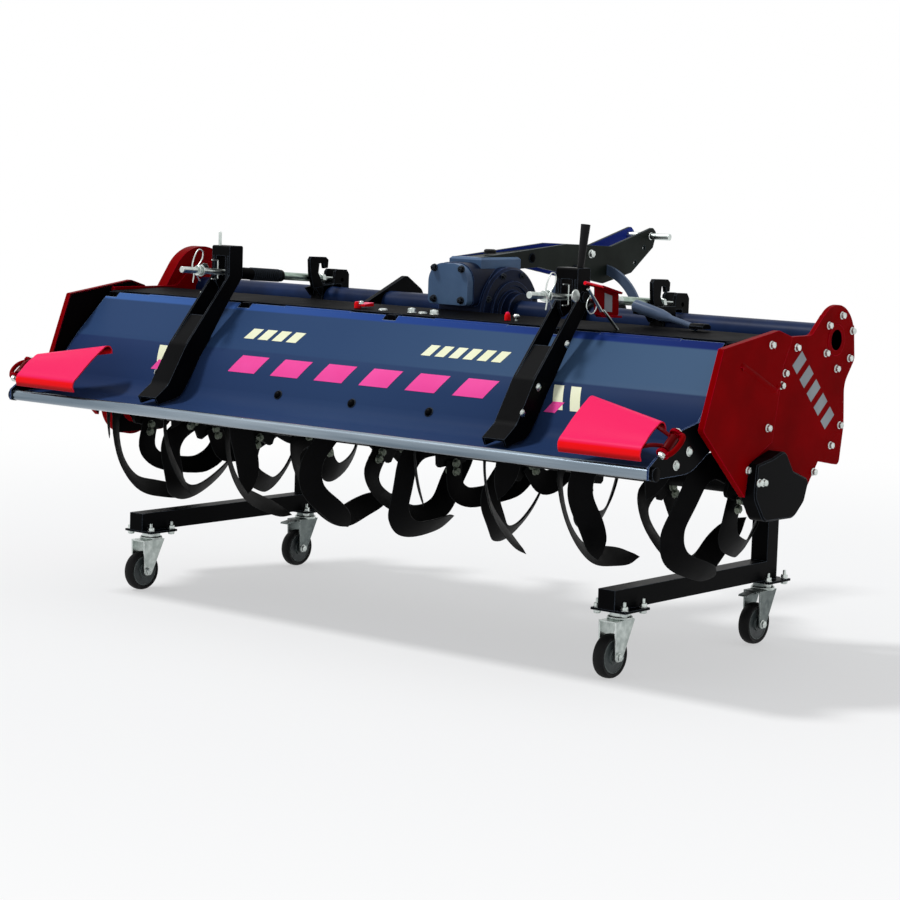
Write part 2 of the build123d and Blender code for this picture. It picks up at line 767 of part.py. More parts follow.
plan["wing_right"] = wing()
plan["wing_left"] = mirror_x(plan["wing_right"])
plan["wing_hinge_right"] = wing_hinge()
plan["wing_hinge_left"] = mirror_x(plan["wing_hinge_right"])
plan["rotor"] = rotor()

# Origin on the floor under the middle of the whole machine
boxes = [shape.bounding_box() for shape in plan.values()]
shift_x = (min(box.min.X for box in boxes) + max(box.max.X for box in boxes)) / 2
shift_y = (min(box.min.Y for box in boxes) + max(box.max.Y for box in boxes)) / 2

if __name__ == "__main__":
    os.makedirs("parts", exist_ok=True)
    for node, shape in plan.items():
        export_step(Pos(-shift_x, -shift_y, 0) * shape, "parts/" + node + ".step")
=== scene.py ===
import json
import math

import bpy
from mathutils import Matrix, Vector
from mathutils.bvhtree import BVHTree

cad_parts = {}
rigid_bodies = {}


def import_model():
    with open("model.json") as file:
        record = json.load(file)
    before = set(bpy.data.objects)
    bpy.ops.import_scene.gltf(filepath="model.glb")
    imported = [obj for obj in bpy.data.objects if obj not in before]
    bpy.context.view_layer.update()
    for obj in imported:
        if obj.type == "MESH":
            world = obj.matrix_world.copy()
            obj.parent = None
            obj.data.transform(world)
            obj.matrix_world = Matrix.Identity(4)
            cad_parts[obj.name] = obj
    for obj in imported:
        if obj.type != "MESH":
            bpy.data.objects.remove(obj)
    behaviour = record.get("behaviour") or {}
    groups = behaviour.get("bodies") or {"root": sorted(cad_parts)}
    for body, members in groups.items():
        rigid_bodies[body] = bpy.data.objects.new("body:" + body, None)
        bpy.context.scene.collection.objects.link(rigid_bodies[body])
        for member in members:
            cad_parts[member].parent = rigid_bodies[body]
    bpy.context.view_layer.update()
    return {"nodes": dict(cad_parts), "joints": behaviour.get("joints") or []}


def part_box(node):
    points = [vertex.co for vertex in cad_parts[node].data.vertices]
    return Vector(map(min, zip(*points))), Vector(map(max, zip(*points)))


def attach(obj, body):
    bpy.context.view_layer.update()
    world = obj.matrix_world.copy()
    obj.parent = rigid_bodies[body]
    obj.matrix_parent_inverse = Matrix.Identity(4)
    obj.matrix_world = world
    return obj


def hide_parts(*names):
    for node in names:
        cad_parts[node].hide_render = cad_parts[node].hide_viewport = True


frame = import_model()

# Machine axes in metres: X from the middle, Y from 0.45 ahead of the levelling bar, Z up
bar_low, bar_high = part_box("cover_bar")
bar_y = -0.45
bar_z = (bar_low.z + bar_high.z) / 2
zero = Vector(((bar_low.x + bar_high.x) / 2, (bar_low.y + bar_high.y) / 2 - bar_y, 0))
right_way = Vector((1, 0, 0))
forward = Vector((0, 1, 0))
upward = Vector((0, 0, 1))
both_sides = ((1, "right"), (-1, "left"))


def spot(x, y, z):
    """Point of the frame from a point in the machine's axes."""
    return zero + Vector((x, y, z))


# View of the photograph, metres and degrees
camera_place = spot(4.288, -5.106, 1.246)
camera_azimuth = math.radians(39.17)
camera_down = math.radians(6.66)
camera_roll = math.radians(1.77)
camera_lens = 100.0
camera_sensor = 36.0


def add_camera():
    """Camera at the photograph's viewing angle."""
    ahead = Vector((
        -math.sin(camera_azimuth) * math.cos(camera_down),
        math.cos(camera_azimuth) * math.cos(camera_down),
        -math.sin(camera_down)))
    level = Vector((math.cos(camera_azimuth), math.sin(camera_azimuth), 0))
    upright = level.cross(ahead)
    right = level * math.cos(camera_roll) + upright * math.sin(camera_roll)
    up = upright * math.cos(camera_roll) - level * math.sin(camera_roll)
    data = bpy.data.cameras.new("view")
    data.lens = camera_lens
    data.sensor_width = camera_sensor
    camera = bpy.data.objects.new("view", data)
    turn = Matrix((right, up, -ahead)).transposed()
    camera.matrix_world = Matrix.Translation(camera_place) @ turn.to_4x4()
    bpy.context.collection.objects.link(camera)
    bpy.context.scene.camera = camera


# Light and floor
world_tint = (0.93, 0.96, 1.0, 1)
world_level = 0.46
sun_level = 1.9
sun_way = Vector((0.42, 0.3, -0.86))
sun_spread = math.radians(9)
floor_half = 30.0
floor_near = 1.6
floor_far = 4.5
floor_glow = 0.5
floor_grey = (0.9, 0.9, 0.9, 1)
floor_roughness = 0.9
white = (1, 1, 1, 1)


class Graph:
    """Nodes of a material or of the world, and the steps that they share."""

    def __init__(self, owner):
        owner.use_nodes = True
        self.nodes = owner.node_tree.nodes
        self.link = owner.node_tree.links.new

    def fill(self, node, inputs):
        """Links a node's inputs to other sockets, or sets them to plain values."""
        for name, value in inputs.items():
            if isinstance(value, bpy.types.NodeSocket):
                self.link(value, node.inputs[name])
            else:
                node.inputs[name].default_value = value

    def add(self, kind, inputs=None):
        """New node with its inputs."""
        node = self.nodes.new(kind)
        self.fill(node, inputs or {})
        return node

    def own(self, output):
        """One of the object's own coordinates."""
        return self.add("ShaderNodeTexCoord").outputs[output]

    def maths(self, operation, *values):
        """Result of one operation on one or two values."""
        step = self.add("ShaderNodeMath", dict(enumerate(values)))
        step.operation = operation
        return step.outputs[0]

    def measure(self, operation, *vectors):
        """Value of one operation on one or two vectors."""
        step = self.add("ShaderNodeVectorMath", dict(enumerate(vectors)))
        step.operation = operation
        return step.outputs["Value"]

    def rise(self, value, low=0.0, high=1.0, start=0.0, end=1.0, curve="LINEAR"):
        """Value that goes from start to end as the given one goes from low to high."""
        step = self.add("ShaderNodeMapRange", {
            "Value": value, "From Min": low, "From Max": high, "To Min": start, "To Max": end})
        step.interpolation_type = curve
        return step.outputs["Result"]

    def shown_to_eye(self):
        """Is Camera Ray, Is Glossy Ray and Is Transmission Ray joined into one value."""
        path = self.add("ShaderNodeLightPath").outputs
        either = self.maths("MAXIMUM", path["Is Camera Ray"], path["Is Glossy Ray"])
        return self.maths("MAXIMUM", either, path["Is Transmission Ray"])

    def join(self, share, first, second, surface):
        """Sends two shaders, joined by a share, to a surface."""
        mix = self.add("ShaderNodeMixShader", {"Fac": share, 1: first.outputs[0], 2: second.outputs[0]})
        self.fill(surface, {"Surface": mix.outputs[0]})


def add_world():
    """Even studio light with a white background for camera, glossy and clear rays."""
    world = bpy.data.worlds.new("studio")
    bpy.context.scene.world = world
    graph = Graph(world)
    graph.nodes.clear()
    soft = graph.add("ShaderNodeBackground", {"Color": world_tint, "Strength": world_level})
    plain = graph.add("ShaderNodeBackground", {"Color": white, "Strength": 1.0})
    graph.join(graph.shown_to_eye(), soft, plain, graph.add("ShaderNodeOutputWorld"))


def add_sun():
    """One soft key light from high on the left."""
    data = bpy.data.lights.new("sun", "SUN")
    data.energy = sun_level
    data.angle = sun_spread
    sun = bpy.data.objects.new("sun", data)
    sun.rotation_euler = sun_way.to_track_quat("-Z", "Y").to_euler()
    bpy.context.collection.objects.link(sun)


def add_floor():
    """Pale floor that turns into plain white away from the object."""
    mesh = bpy.data.meshes.new("floor")
    half = floor_half
    corners = [(-half, -half, 0), (half, -half, 0), (half, half, 0), (-half, half, 0)]
    mesh.from_pydata(corners, [], [(0, 1, 2, 3)])
    floor = bpy.data.objects.new("floor", mesh)
    bpy.context.collection.objects.link(floor)
    material = bpy.data.materials.new("pale_floor")
    graph = Graph(material)
    matt = graph.nodes["Principled BSDF"]
    graph.fill(matt, {"Base Color": floor_grey, "Roughness": floor_roughness, "Specular IOR Level": 0.0})
    glow = graph.add("ShaderNodeEmission", {"Strength": 1.0})
    length = graph.measure("LENGTH", graph.own("Object"))
    away = graph.rise(length, floor_near, floor_far, floor_glow, curve="SMOOTHSTEP")
    share = graph.maths("MULTIPLY", away, graph.shown_to_eye())
    graph.join(share, matt, glow, graph.nodes["Material Output"])
    mesh.materials.append(material)


def linear(colour):
    """Scene colour of a colour given as it looks on a screen, 0 to 255."""
    shares = [((c / 255 + 0.055) / 1.055) ** 2.4 if c > 10 else c / 255 / 12.92 for c in colour]
    return (*shares, 1)


# Radius of the rounded look of sheet edges, and how far the normal turns where the painted highlight
# along them starts and where it is full
edge_round = 0.0022
highlight_starts = 0.995
highlight_full = 0.85
bump_strength = 0.35


class Paint(Graph):
    """Material with plain shader values, and the ways its colour and gloss are made."""

    def __init__(self, name, roughness, specular=0.5, metallic=0.0):
        self.material = bpy.data.materials.new(name)
        super().__init__(self.material)
        self.shader = self.nodes["Principled BSDF"]
        self.fill(self.shader, {"Roughness": roughness, "Specular IOR Level": specular, "Metallic": metallic})

    def ramp(self, value, stops):
        """Colour along stops, each of them a place and a colour."""
        ramp = self.add("ShaderNodeValToRGB", {"Fac": value})
        elements = ramp.color_ramp.elements
        while len(elements) < len(stops):
            elements.new(0.5)
        for element, (place, colour) in zip(elements, stops):
            element.position = place
            element.color = linear(colour)
        return ramp.outputs["Color"]

    def clouded(self, cloud, dark, light):
        """Colour that drifts from dark to light with a cloud."""
        return self.ramp(cloud, [(0.3, dark), (0.7, light)])

    def cloud(self, scale, stretch=(1, 1, 1), detail=5.0):
        """Noise in the object's own space, stretched along its axes."""
        mapping = self.add("ShaderNodeMapping", {"Vector": self.own("Object"), "Scale": stretch})
        place = mapping.outputs["Vector"]
        noise = self.add("ShaderNodeTexNoise", {"Vector": place, "Scale": scale, "Detail": detail})
        return noise.outputs["Fac"]

    def axes(self, output):
        """X, Y and Z of one of the object's own coordinates."""
        return self.add("ShaderNodeSeparateXYZ", {"Vector": self.own(output)}).outputs

    def blend(self, share, first, second):
        """Colour that goes from the first to the second with the share."""
        mix = self.add("ShaderNodeMix")
        mix.data_type = "RGBA"
        ends = [linear(colour) if isinstance(colour, tuple) else colour for colour in (first, second)]
        self.fill(mix, {0: share, 6: ends[0], 7: ends[1]})
        return mix.outputs[2]

    def spread(self, colour, edge, radius=edge_round):
        """Gives the shader a colour, with a painted highlight colour at its edges, and the rounded normal."""
        bevel = self.add("ShaderNodeBevel", {"Radius": radius})
        bevel.samples = 4
        normal = bevel.outputs["Normal"]
        face = self.add("ShaderNodeNewGeometry").outputs["Normal"]
        # Painted highlight: the edge colour comes in where the rounded normal turns away from the face
        share = self.rise(self.measure("DOT_PRODUCT", normal, face), highlight_starts, highlight_full)
        self.fill(self.shader, {"Base Color": self.blend(share, colour, edge), "Normal": normal})
        return normal

    def uneven(self, cloud, low, high):
        """Gloss that drifts with a cloud."""
        self.fill(self.shader, {"Roughness": self.rise(cloud, start=low, end=high)})


def finish(name, dark, light, edge, roughness, specular=0.5, metallic=0.0, scale=9.0,
           stretch=(1, 1, 1), grain=900.0, grain_depth=0.0002, edge_radius=edge_round):
    """Painted or bare surface: clouded colour, a painted highlight along the edges, uneven gloss and a fine
    grain.
    """
    paint = Paint(name, roughness, specular, metallic)
    cloud = paint.cloud(scale, stretch)
    normal = paint.spread(paint.clouded(cloud, dark, light), edge, edge_radius)
    paint.uneven(cloud, roughness * 0.8, roughness * 1.25)
    height = paint.cloud(grain, stretch, 2.0)
    bump = paint.add("ShaderNodeBump", {
        "Strength": bump_strength, "Distance": grain_depth, "Height": height, "Normal": normal})
    paint.fill(paint.shader, {"Normal": bump.outputs["Normal"]})
    return paint.material


def film(name, dark, light, edge):
    """Thin coloured film for the plain bars."""
    return finish(name, dark, light, edge, 0.35, 0.05, edge_radius=0.0003)


# Each finish: dark and light colour, then the painted highlight colour along its edges, roughness, specular
black = finish("black_enamel", (4, 4, 5), (8, 9, 11), (90, 100, 112), 0.38, 0.025)
deep_black = finish("black_sheet", (3, 3, 4), (6, 6, 8), (60, 70, 84), 0.55, 0.01)
# Dark navy black of the main pipe and the gearbox body, its blue partly a painted reflection of the sky
black_with_painted_sky_blue = finish("black_enamel_with_painted_sky_blue", (14, 26, 52), (26, 46, 86), (90, 118, 168), 0.34, 0.06)
gearbox_black_with_painted_sky_blue = finish("gearbox_body_enamel_with_painted_sky_blue", (10, 17, 34), (20, 32, 60), (84, 108, 160), 0.34, 0.06)
# Gearbox lid and turret: the gearbox's dark enamel drawn as it looks lit, painted light
gearbox_painted_light = finish("gearbox_enamel_painted_light", (68, 94, 128), (86, 114, 148), (110, 130, 164), 0.34, 0.12)
hoop_grey = finish("hoop_enamel", (72, 88, 112), (96, 112, 138), (150, 165, 188), 0.35, 0.15)
tine_black = finish(
    "dip_paint", (3, 3, 4), (9, 9, 10), (40, 44, 44), 0.5, 0.05, scale=24.0, grain=260.0, grain_depth=0.0006)
# Red between its own paint and its look in shade, so darker than the paint: partly painted shade; the edge
# colour is a painted highlight
red_dark_partly_painted_shade = (118, 0, 2)
red_light_partly_painted_shade = (138, 0, 4)
red_edge_highlight = (236, 16, 58)
red = finish("red_enamel", red_dark_partly_painted_shade, red_light_partly_painted_shade, red_edge_highlight, 0.36, 0.008)
# Darker copy of the red enamel for the wing knuckles: painted shade
red_painted_shade = finish("red_enamel_painted_shade", (84, 0, 2), (104, 0, 4), (200, 14, 40), 0.35, 0.04)
zinc = finish(
    "zinc_plate", (168, 178, 174), (214, 222, 218), (240, 244, 242), 0.3, metallic=1.0, scale=60.0,
    grain=700.0)
green_zinc = finish(
    "yellowed_zinc", (132, 152, 140), (170, 188, 176), (220, 230, 224), 0.34, metallic=1.0, scale=50.0)
# Front forks in a darker zinc
darker_zinc = finish(
    "front_fork_darker_zinc", (84, 92, 92), (120, 128, 126), (180, 188, 186), 0.4, metallic=1.0, scale=60.0)
dull_zinc = finish("old_zinc", (70, 80, 68), (118, 128, 112), (170, 176, 164), 0.45, metallic=0.7, scale=70.0)
steel = finish(
    "drawn_tube", (106, 120, 132), (160, 172, 182), (220, 226, 232), 0.22, metallic=1.0, scale=30.0,
    stretch=(0.05, 1, 1), grain=500.0)
rubber = finish("solid_rubber", (10, 10, 10), (20, 20, 21), (40, 40, 40), 0.6, 0.15, scale=40.0)
rim_grey = finish("moulded_rim", (44, 50, 51), (70, 78, 78), (140, 150, 146), 0.3, 0.35, scale=40.0)
grip = finish("moulded_grip", (12, 12, 13), (20, 20, 22), (50, 50, 54), 0.5, 0.12)
pink_film = film("pink_film", (250, 74, 160), (255, 86, 172), (255, 110, 190))
cream_film = film("cream_film", (244, 246, 206), (252, 253, 224), (255, 255, 240))
grey_film = film("grey_film", (140, 146, 150), (160, 166, 170), (190, 194, 198))


def wing_finish_painted_light():
    """Wing enamel with painted light: a rosy painted highlight on top, plain red on the lip and painted shade
    underneath.
    """
    paint = Paint("wing_enamel_painted_light", 0.3, 0.06)
    faced = paint.axes("Normal")["Z"]
    # Painted shade: darker red where the sheet faces down
    front = paint.blend(paint.rise(faced, -0.6, -0.1), (90, 0, 6), (250, 14, 22))
    # Painted highlight: rosy red where the sheet faces up, and a painted highlight colour along the edges
    paint.spread(paint.blend(paint.rise(faced, 0.35, 0.62), front, (252, 32, 100)), (255, 60, 110))
    paint.uneven(paint.cloud(9.0), 0.24, 0.38)
    return paint.material


def mast_finish():
    """Olive black enamel with the far plate's inner face in blue."""
    paint = Paint("mast_enamel", 0.4, 0.05)
    inward = paint.rise(paint.axes("Normal")["X"], 0.8, 0.9)
    far = paint.rise(paint.axes("Object")["X"], zero.x - 0.03, zero.x - 0.034)
    olive = paint.clouded(paint.cloud(9.0), (20, 25, 21), (34, 40, 36))
    paint.spread(paint.blend(paint.maths("MULTIPLY", inward, far), olive, (30, 52, 150)), (90, 110, 120))
    return paint.material


def end_finish_painted_shade(name, side, painted_shade_top):
    """Red end sheet whose inner face has painted shade, near black, below a height."""
    paint = Paint(name, 0.36, 0.008)
    inward = paint.rise(paint.axes("Normal")["X"], -0.8 * side, -0.9 * side)
    # Painted shade: the inner face turns near black below the given height
    low = paint.rise(paint.axes("Object")["Z"], painted_shade_top + 0.02, painted_shade_top - 0.02)
    body = paint.clouded(paint.cloud(9.0), red_dark_partly_painted_shade, red_light_partly_painted_shade)
    # The near-black colour is painted shade; the edge colour is a painted highlight
    paint.spread(paint.blend(paint.maths("MULTIPLY", inward, low), body, (12, 8, 9)), red_edge_highlight)
    return paint.material


# Heights where the cover's painted reflection and shade change, and below which the end sheets' inner faces
# get painted shade
band_low = 0.812
lower_face_top = 0.712
fold_soft = 0.002
painted_shade_height = 0.7
above_all = 2.0


def cover_finish_painted_light():
    """Navy enamel with a painted reflection of the sky on the top strip and the upper face, painted shade on
    the lower face, and faces turned sideways in near black.
    """
    paint = Paint("navy_enamel_painted_reflection_and_shade", 0.3, 0.02)
    place = paint.axes("Object")
    across = paint.rise(place["X"], zero.x - 1.1, zero.x + 1.1)
    # Painted reflection and shade: the navy changes across X; the upper face is lighter than the lower one
    # and lightest to the right, and the lower face is darkest at the right as painted shade
    colour = paint.ramp(across, [(0.0, (36, 54, 96)), (0.5, (46, 68, 106)), (1.0, (32, 50, 88))])
    upper_face_painted_reflection = [(0.0, (46, 70, 110)), (0.45, (47, 72, 110)), (1.0, (70, 96, 126))]
    # Top strip: painted reflection, bright at the left and dark at the right
    strip = [(0.0, (66, 104, 166)), (0.5, (38, 70, 140)), (1.0, (14, 32, 98))]
    for edge, stops in ((lower_face_top, upper_face_painted_reflection), (band_low, strip)):
        share = paint.rise(place["Z"], edge - fold_soft, edge + fold_soft)
        colour = paint.blend(share, colour, paint.ramp(across, stops))
    sideways = paint.maths("ABSOLUTE", paint.axes("Normal")["X"])
    colour = paint.blend(paint.rise(sideways, 0.75, 0.85), colour, (7, 8, 10))
    paint.spread(colour, (150, 170, 200))
    paint.uneven(paint.cloud(6.0), 0.26, 0.38)
    return paint.material


wing_red_painted_light = wing_finish_painted_light()
node_finishes = {
    "main_pipe": black_with_painted_sky_blue, "gearbox": gearbox_black_with_painted_sky_blue, "gearbox_cover": gearbox_painted_light, "hood": deep_black,
    "cover_panel": cover_finish_painted_light(), "cover_bar": steel, "rotor": tine_black, "input_guard": hoop_grey,
    "input_shaft": steel, "link_pin": zinc, "stay": hoop_grey, "bearing_cover": black,
    "chain_case": red, "lock_bracket": red, "lock_lever": grip, "mast": mast_finish()}
side_finishes = {
    "wing": wing_red_painted_light, "wing_hinge": red, "hitch": black, "rod_bracket": black, "rod": zinc, "stand": black,
    "arm": black, "fork_front": darker_zinc, "fork_rear": zinc, "wheel_front": rubber, "wheel_rear": rubber}
for side, name in both_sides:
    for stem, material in side_finishes.items():
        node_finishes[stem + "_" + name] = material
    node_finishes["guard_" + name] = end_finish_painted_shade("guard_enamel_" + name, side, above_all)
    node_finishes["side_plate_" + name] = end_finish_painted_shade("plate_enamel_" + name, side, painted_shade_height)
for node, material in node_finishes.items():
    mesh = frame["nodes"][node].data
    mesh.materials.clear()
    mesh.materials.append(material)


def circle(middle, side, other, radius, count):
    """Points round a middle in the plane of two directions."""
    angles = [2 * math.pi * step / count for step in range(count)]
    return [middle + (side * math.cos(angle) + other * math.sin(angle)) * radius for angle in angles]


def heading(line, place):
    """Direction of a line of points at one of them."""
    return (line[min(place + 1, len(line) - 1)] - line[max(place - 1, 0)]).normalized()


class Shape:
    """Points and faces of one piece, gathered from simple forms."""

    def __init__(self):
        self.points = []
        self.faces = []

    def skin(self, rings, caps=True, around=True, closed=False):
        """Faces between rings of equally many points, and from the last to the first if closed."""
        first = len(self.points)
        count = len(rings[0])
        rows = len(rings)
        for ring in rings:
            self.points.extend(ring)
        for row in range(rows if closed else rows - 1):
            low = first + row * count
            high = first + (row + 1) % rows * count
            for place in range(count if around else count - 1):
                after = (place + 1) % count
                self.faces.append((low + place, low + after, high + after, high + place))
        if caps:
            last = first + (rows - 1) * count
            self.faces.append(tuple(range(first + count - 1, first - 1, -1)))
            self.faces.append(tuple(range(last, last + count)))

    def turned(self, profile, place, way, sides, closed=False):
        """Turned form: radius and height pairs about an axis."""
        axis = Vector(way).normalized()
        side = axis.orthogonal().normalized()
        other = axis.cross(side)
        start = Vector(place)
        rings = [circle(start + axis * height, side, other, radius, sides) for radius, height in profile]
        self.skin(rings, caps=not closed, closed=closed)

    def tube(self, line, radius, sides=8):
        """Round wire along a line of points."""
        line = [Vector(p) for p in line]
        side = (line[1] - line[0]).normalized().orthogonal().normalized()
        rings = []
        for place, here in enumerate(line):
            way = heading(line, place)
            side = (side - way * side.dot(way)).normalized()
            rings.append(circle(here, side, way.cross(side), radius, sides))
        self.skin(rings)

    def sheet(self, corners, start, end, soft=0.0008):
        """Sheet cut to corners in Y and Z, between two places along X, with soft rims."""
        middle = Vector((sum(c[0] for c in corners), sum(c[1] for c in corners))) / len(corners)
        way = 1 if end > start else -1
        rings = []
        for x, inset in ((start, soft), (start + way * soft, 0), (end - way * soft, 0), (end, soft)):
            ring = []
            for corner in corners:
                flat = Vector(corner)
                flat = flat + (middle - flat).normalized() * inset
                ring.append(spot(x, flat.x, flat.y))
            rings.append(ring)
        self.skin(rings)


def smooth_line(points, steps=6):
    """Points along a smooth curve through the given ones."""
    points = [Vector(p) for p in points]
    ends = [points[0] * 2 - points[1]] + points + [points[-1] * 2 - points[-2]]
    line = []
    for place in range(1, len(ends) - 2):
        a, b, c, d = ends[place - 1:place + 3]
        for step in range(steps):
            t = step / steps
            line.append(0.5 * (
                2 * b + (c - a) * t + (2 * a - 5 * b + 4 * c - d) * t * t
                + (3 * b - a - 3 * c + d) * t ** 3))
    line.append(points[-1])
    return line


def add_piece(name, shape, material, body, slot, soft_angle=40.0, replaced=None):
    """Mesh piece that rides on a body, and that may stand in the place of a node."""
    mesh = bpy.data.meshes.new(name)
    mesh.from_pydata([tuple(p) for p in shape.points], [], shape.faces)
    mesh.validate()
    mesh.polygons.foreach_set("use_smooth", [True] * len(mesh.polygons))
    mesh.set_sharp_from_angle(angle=math.radians(soft_angle))
    mesh.materials.append(material)
    piece = bpy.data.objects.new(name, mesh)
    bpy.context.collection.objects.link(piece)
    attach(piece, body)
    if replaced:
        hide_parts(replaced)


def add_turned(name, profile, place, way, sides, *look, **more):
    """Piece of one turned form."""
    shape = Shape()
    shape.turned(profile, place, way, sides)
    add_piece(name, shape, *look, **more)


def tree_of(*nodes):
    """Search tree over the surfaces of some nodes."""
    points = []
    faces = []
    for node in nodes:
        mesh = frame["nodes"][node].data
        first = len(points)
        points.extend(v.co.copy() for v in mesh.vertices)
        faces.extend(tuple(first + index for index in face.vertices) for face in mesh.polygons)
    return BVHTree.FromPolygons(points, faces)


def seat(tree, start, way):
    """Place and outward direction where a ray meets a surface."""
    hit, normal, _, _ = tree.ray_cast(Vector(start), Vector(way).normalized())
    if hit is None:
        raise RuntimeError("nothing to seat on at %s" % (tuple(start),))
    if normal.dot(Vector(way)) > 0:
        normal = -normal
    return hit, normal


# Screws: width over flats and height of a hexagon head, washer, and collar of a domed head
screw_wide = 0.015
screw_high = 0.008
washer_share = 0.66
washer_high = 0.0018
collar_high = 0.0015
dome_steps = 5


def hex_screw(shape, place, way, wide=screw_wide, high=screw_high):
    """Hexagon head with a chamfered top, on a washer."""
    radius = wide * washer_share
    shape.turned([(radius, 0), (radius, washer_high * 0.7), (radius - 0.0005, washer_high)], place, way, 20)
    corner = wide / math.sqrt(3)
    rim = washer_high + high * 0.8
    top = washer_high + high
    shape.turned([(corner, washer_high), (corner, rim), (corner * 0.86, top)], place, way, 6)
    shape.turned([(corner * 0.45, top), (corner * 0.36, washer_high + high * 1.12)], place, way, 10)


def dome_screw(shape, place, way, radius, high):
    """Coach screw with a domed head on a thin collar."""
    profile = [(radius * 1.2, 0), (radius * 1.2, 0.0012), (radius, collar_high)]
    for step in range(1, dome_steps):
        angle = step / dome_steps * math.pi / 2
        profile.append((radius * math.cos(angle), collar_high + high * math.sin(angle)))
    profile.append((radius * 0.12, collar_high + high))
    shape.turned(profile, place, way, 16)


def set_screws(shape, tree, starts, way, head, *sizes):
    """Screws seated where rays from the starts meet the surface."""
    for start in starts:
        place, normal = seat(tree, start, way)
        head(shape, place, normal, *sizes)


def add_screws(name, tree, starts, way, head, sizes, *look):
    """Piece of equal screws on one surface."""
    shape = Shape()
    set_screws(shape, tree, starts, way, head, *sizes)
    add_piece(name, shape, *look)


def beside(x, places):
    """Points at one X from places in Y and Z."""
    return [spot(x, *place) for place in places]


# Middles of the main pipe and of the rotor, Y and Z
pipe_spot = (0.3, 0.827)
rotor_spot = (0.02, 0.496)

# Screw places on the right end, Y and Z, and those on the left end outside the chain case
end_screws = [
    (0.322, 0.887), (0.261, 0.864), (0.374, 0.847), (0.252, 0.796), (0.366, 0.779), (0.306, 0.755),
    (0.114, 0.815), (-0.026, 0.828), (0.065, 0.755), (0.051, 0.726), (-0.027, 0.629),
    (0.334, 0.612), (0.294, 0.564), (-0.106, 0.533), (-0.095, 0.505), (0.219, 0.503), (0.159, 0.469),
    (-0.076, 0.504)]
left_plate_screws = [(-0.026, 0.828), (-0.106, 0.533), (-0.027, 0.629)]
outside = 1.4

# Screws round the chain case: radius and degrees about both shafts, and shares of the way between them
pipe_ring = (0.112, (-75, -125, 180, 125, 75))
rotor_ring = (0.074, (-62, -22, 22, 62))
case_narrows = 0.038
case_shares = (0.33, 0.66)
case_screw = (0.014, 0.006)

# Main pipe's ends and the oil plug, as radius and height pairs and their places
pipe_cap = [(0.0255, 0), (0.0255, 0.008), (0.0235, 0.011)]
pipe_cap_x = 1.088
pipe_bolt = (0.013, 0.006)
pipe_collar = [(0.04, 0), (0.04, 0.001), (0.0262, 0.001), (0.0262, 0)]
pipe_end_x = 1.1092
plug_spot = (0.16, 0.66)
plug_rings = [(0.02, 0), (0.02, 0.004), (0.015, 0.005), (0.015, 0.012), (0.012, 0.014)]


def case_screw_places():
    """Places round the left end's chain case, Y and Z."""
    pipe = Vector(pipe_spot)
    rotor = Vector(rotor_spot)
    run = rotor - pipe
    across = Vector((-run.y, run.x)).normalized()
    places = []
    for centre, (radius, angles) in ((pipe, pipe_ring), (rotor, rotor_ring)):
        for angle in angles:
            turn = math.atan2(run.y, run.x) + math.radians(angle)
            places.append((centre.x + radius * math.cos(turn), centre.y + radius * math.sin(turn)))
    for share in case_shares:
        for side in (-1, 1):
            aside = side * (pipe_ring[0] - case_narrows * share)
            places.append(tuple(pipe.lerp(rotor, share) + across * aside))
    return places


def add_end_fittings():
    """Screws of both ends, the caps, bolts and collars of the main pipe, and the oil plug."""
    right = tree_of("side_plate_right", "guard_right", "bearing_cover")
    left = tree_of("side_plate_left", "guard_left", "chain_case")
    starts = beside(outside, end_screws)
    add_screws("end_screws_right", right, starts, -right_way, hex_screw, (), zinc, "frame", "zinc")
    shape = Shape()
    set_screws(shape, left, beside(-outside, case_screw_places()), right_way, hex_screw, *case_screw)
    set_screws(shape, left, beside(-outside, left_plate_screws), right_way, hex_screw)
    add_piece("end_screws_left", shape, zinc, "frame", "zinc")
    for side, name in both_sides:
        out = right_way * side
        start = spot(side * pipe_cap_x, *pipe_spot)
        add_turned("pipe_cap_" + name, pipe_cap, start, out, 32, black, "frame", "black_paint")
        bolt = Shape()
        hex_screw(bolt, start + out * pipe_cap[-1][1], out, *pipe_bolt)
        add_piece("pipe_bolt_" + name, bolt, dull_zinc, "frame", "zinc")
        end = spot(side * pipe_end_x, *pipe_spot)
        add_turned("pipe_collar_" + name, pipe_collar, end, out, 36, red, "frame", "red_paint")
    place, normal = seat(left, spot(-outside, *plug_spot), right_way)
    add_turned("oil_plug", plug_rings, place, normal, 24, grip, "frame", "grip_black")


# Screws of the cover: X and Z on its face, Y and Z on its ends, radius and height of their heads
behind = -0.8
face_screws = [(-0.23, 0.609), (0.03, 0.609), (0.29, 0.609)]
face_head = (0.011, 0.008)
cover_end_screws = [(-0.309, 0.59), (-0.361, 0.561)]
cover_end_head = (0.01, 0.007)


def add_cover_screws():
    """Domed screws on the cover's face and on its end plates."""
    cover = tree_of("cover_panel")
    starts = [spot(x, behind, z) for x, z in face_screws]
    add_screws("cover_screws", cover, starts, forward, dome_screw, face_head, black, "cover", "black_paint")
    ends = Shape()
    for side in (-1, 1):
        starts = beside(side * outside, cover_end_screws)
        set_screws(ends, cover, starts, -right_way * side, dome_screw, *cover_end_head)
    add_piece("cover_end_screws", ends, zinc, "cover", "zinc")


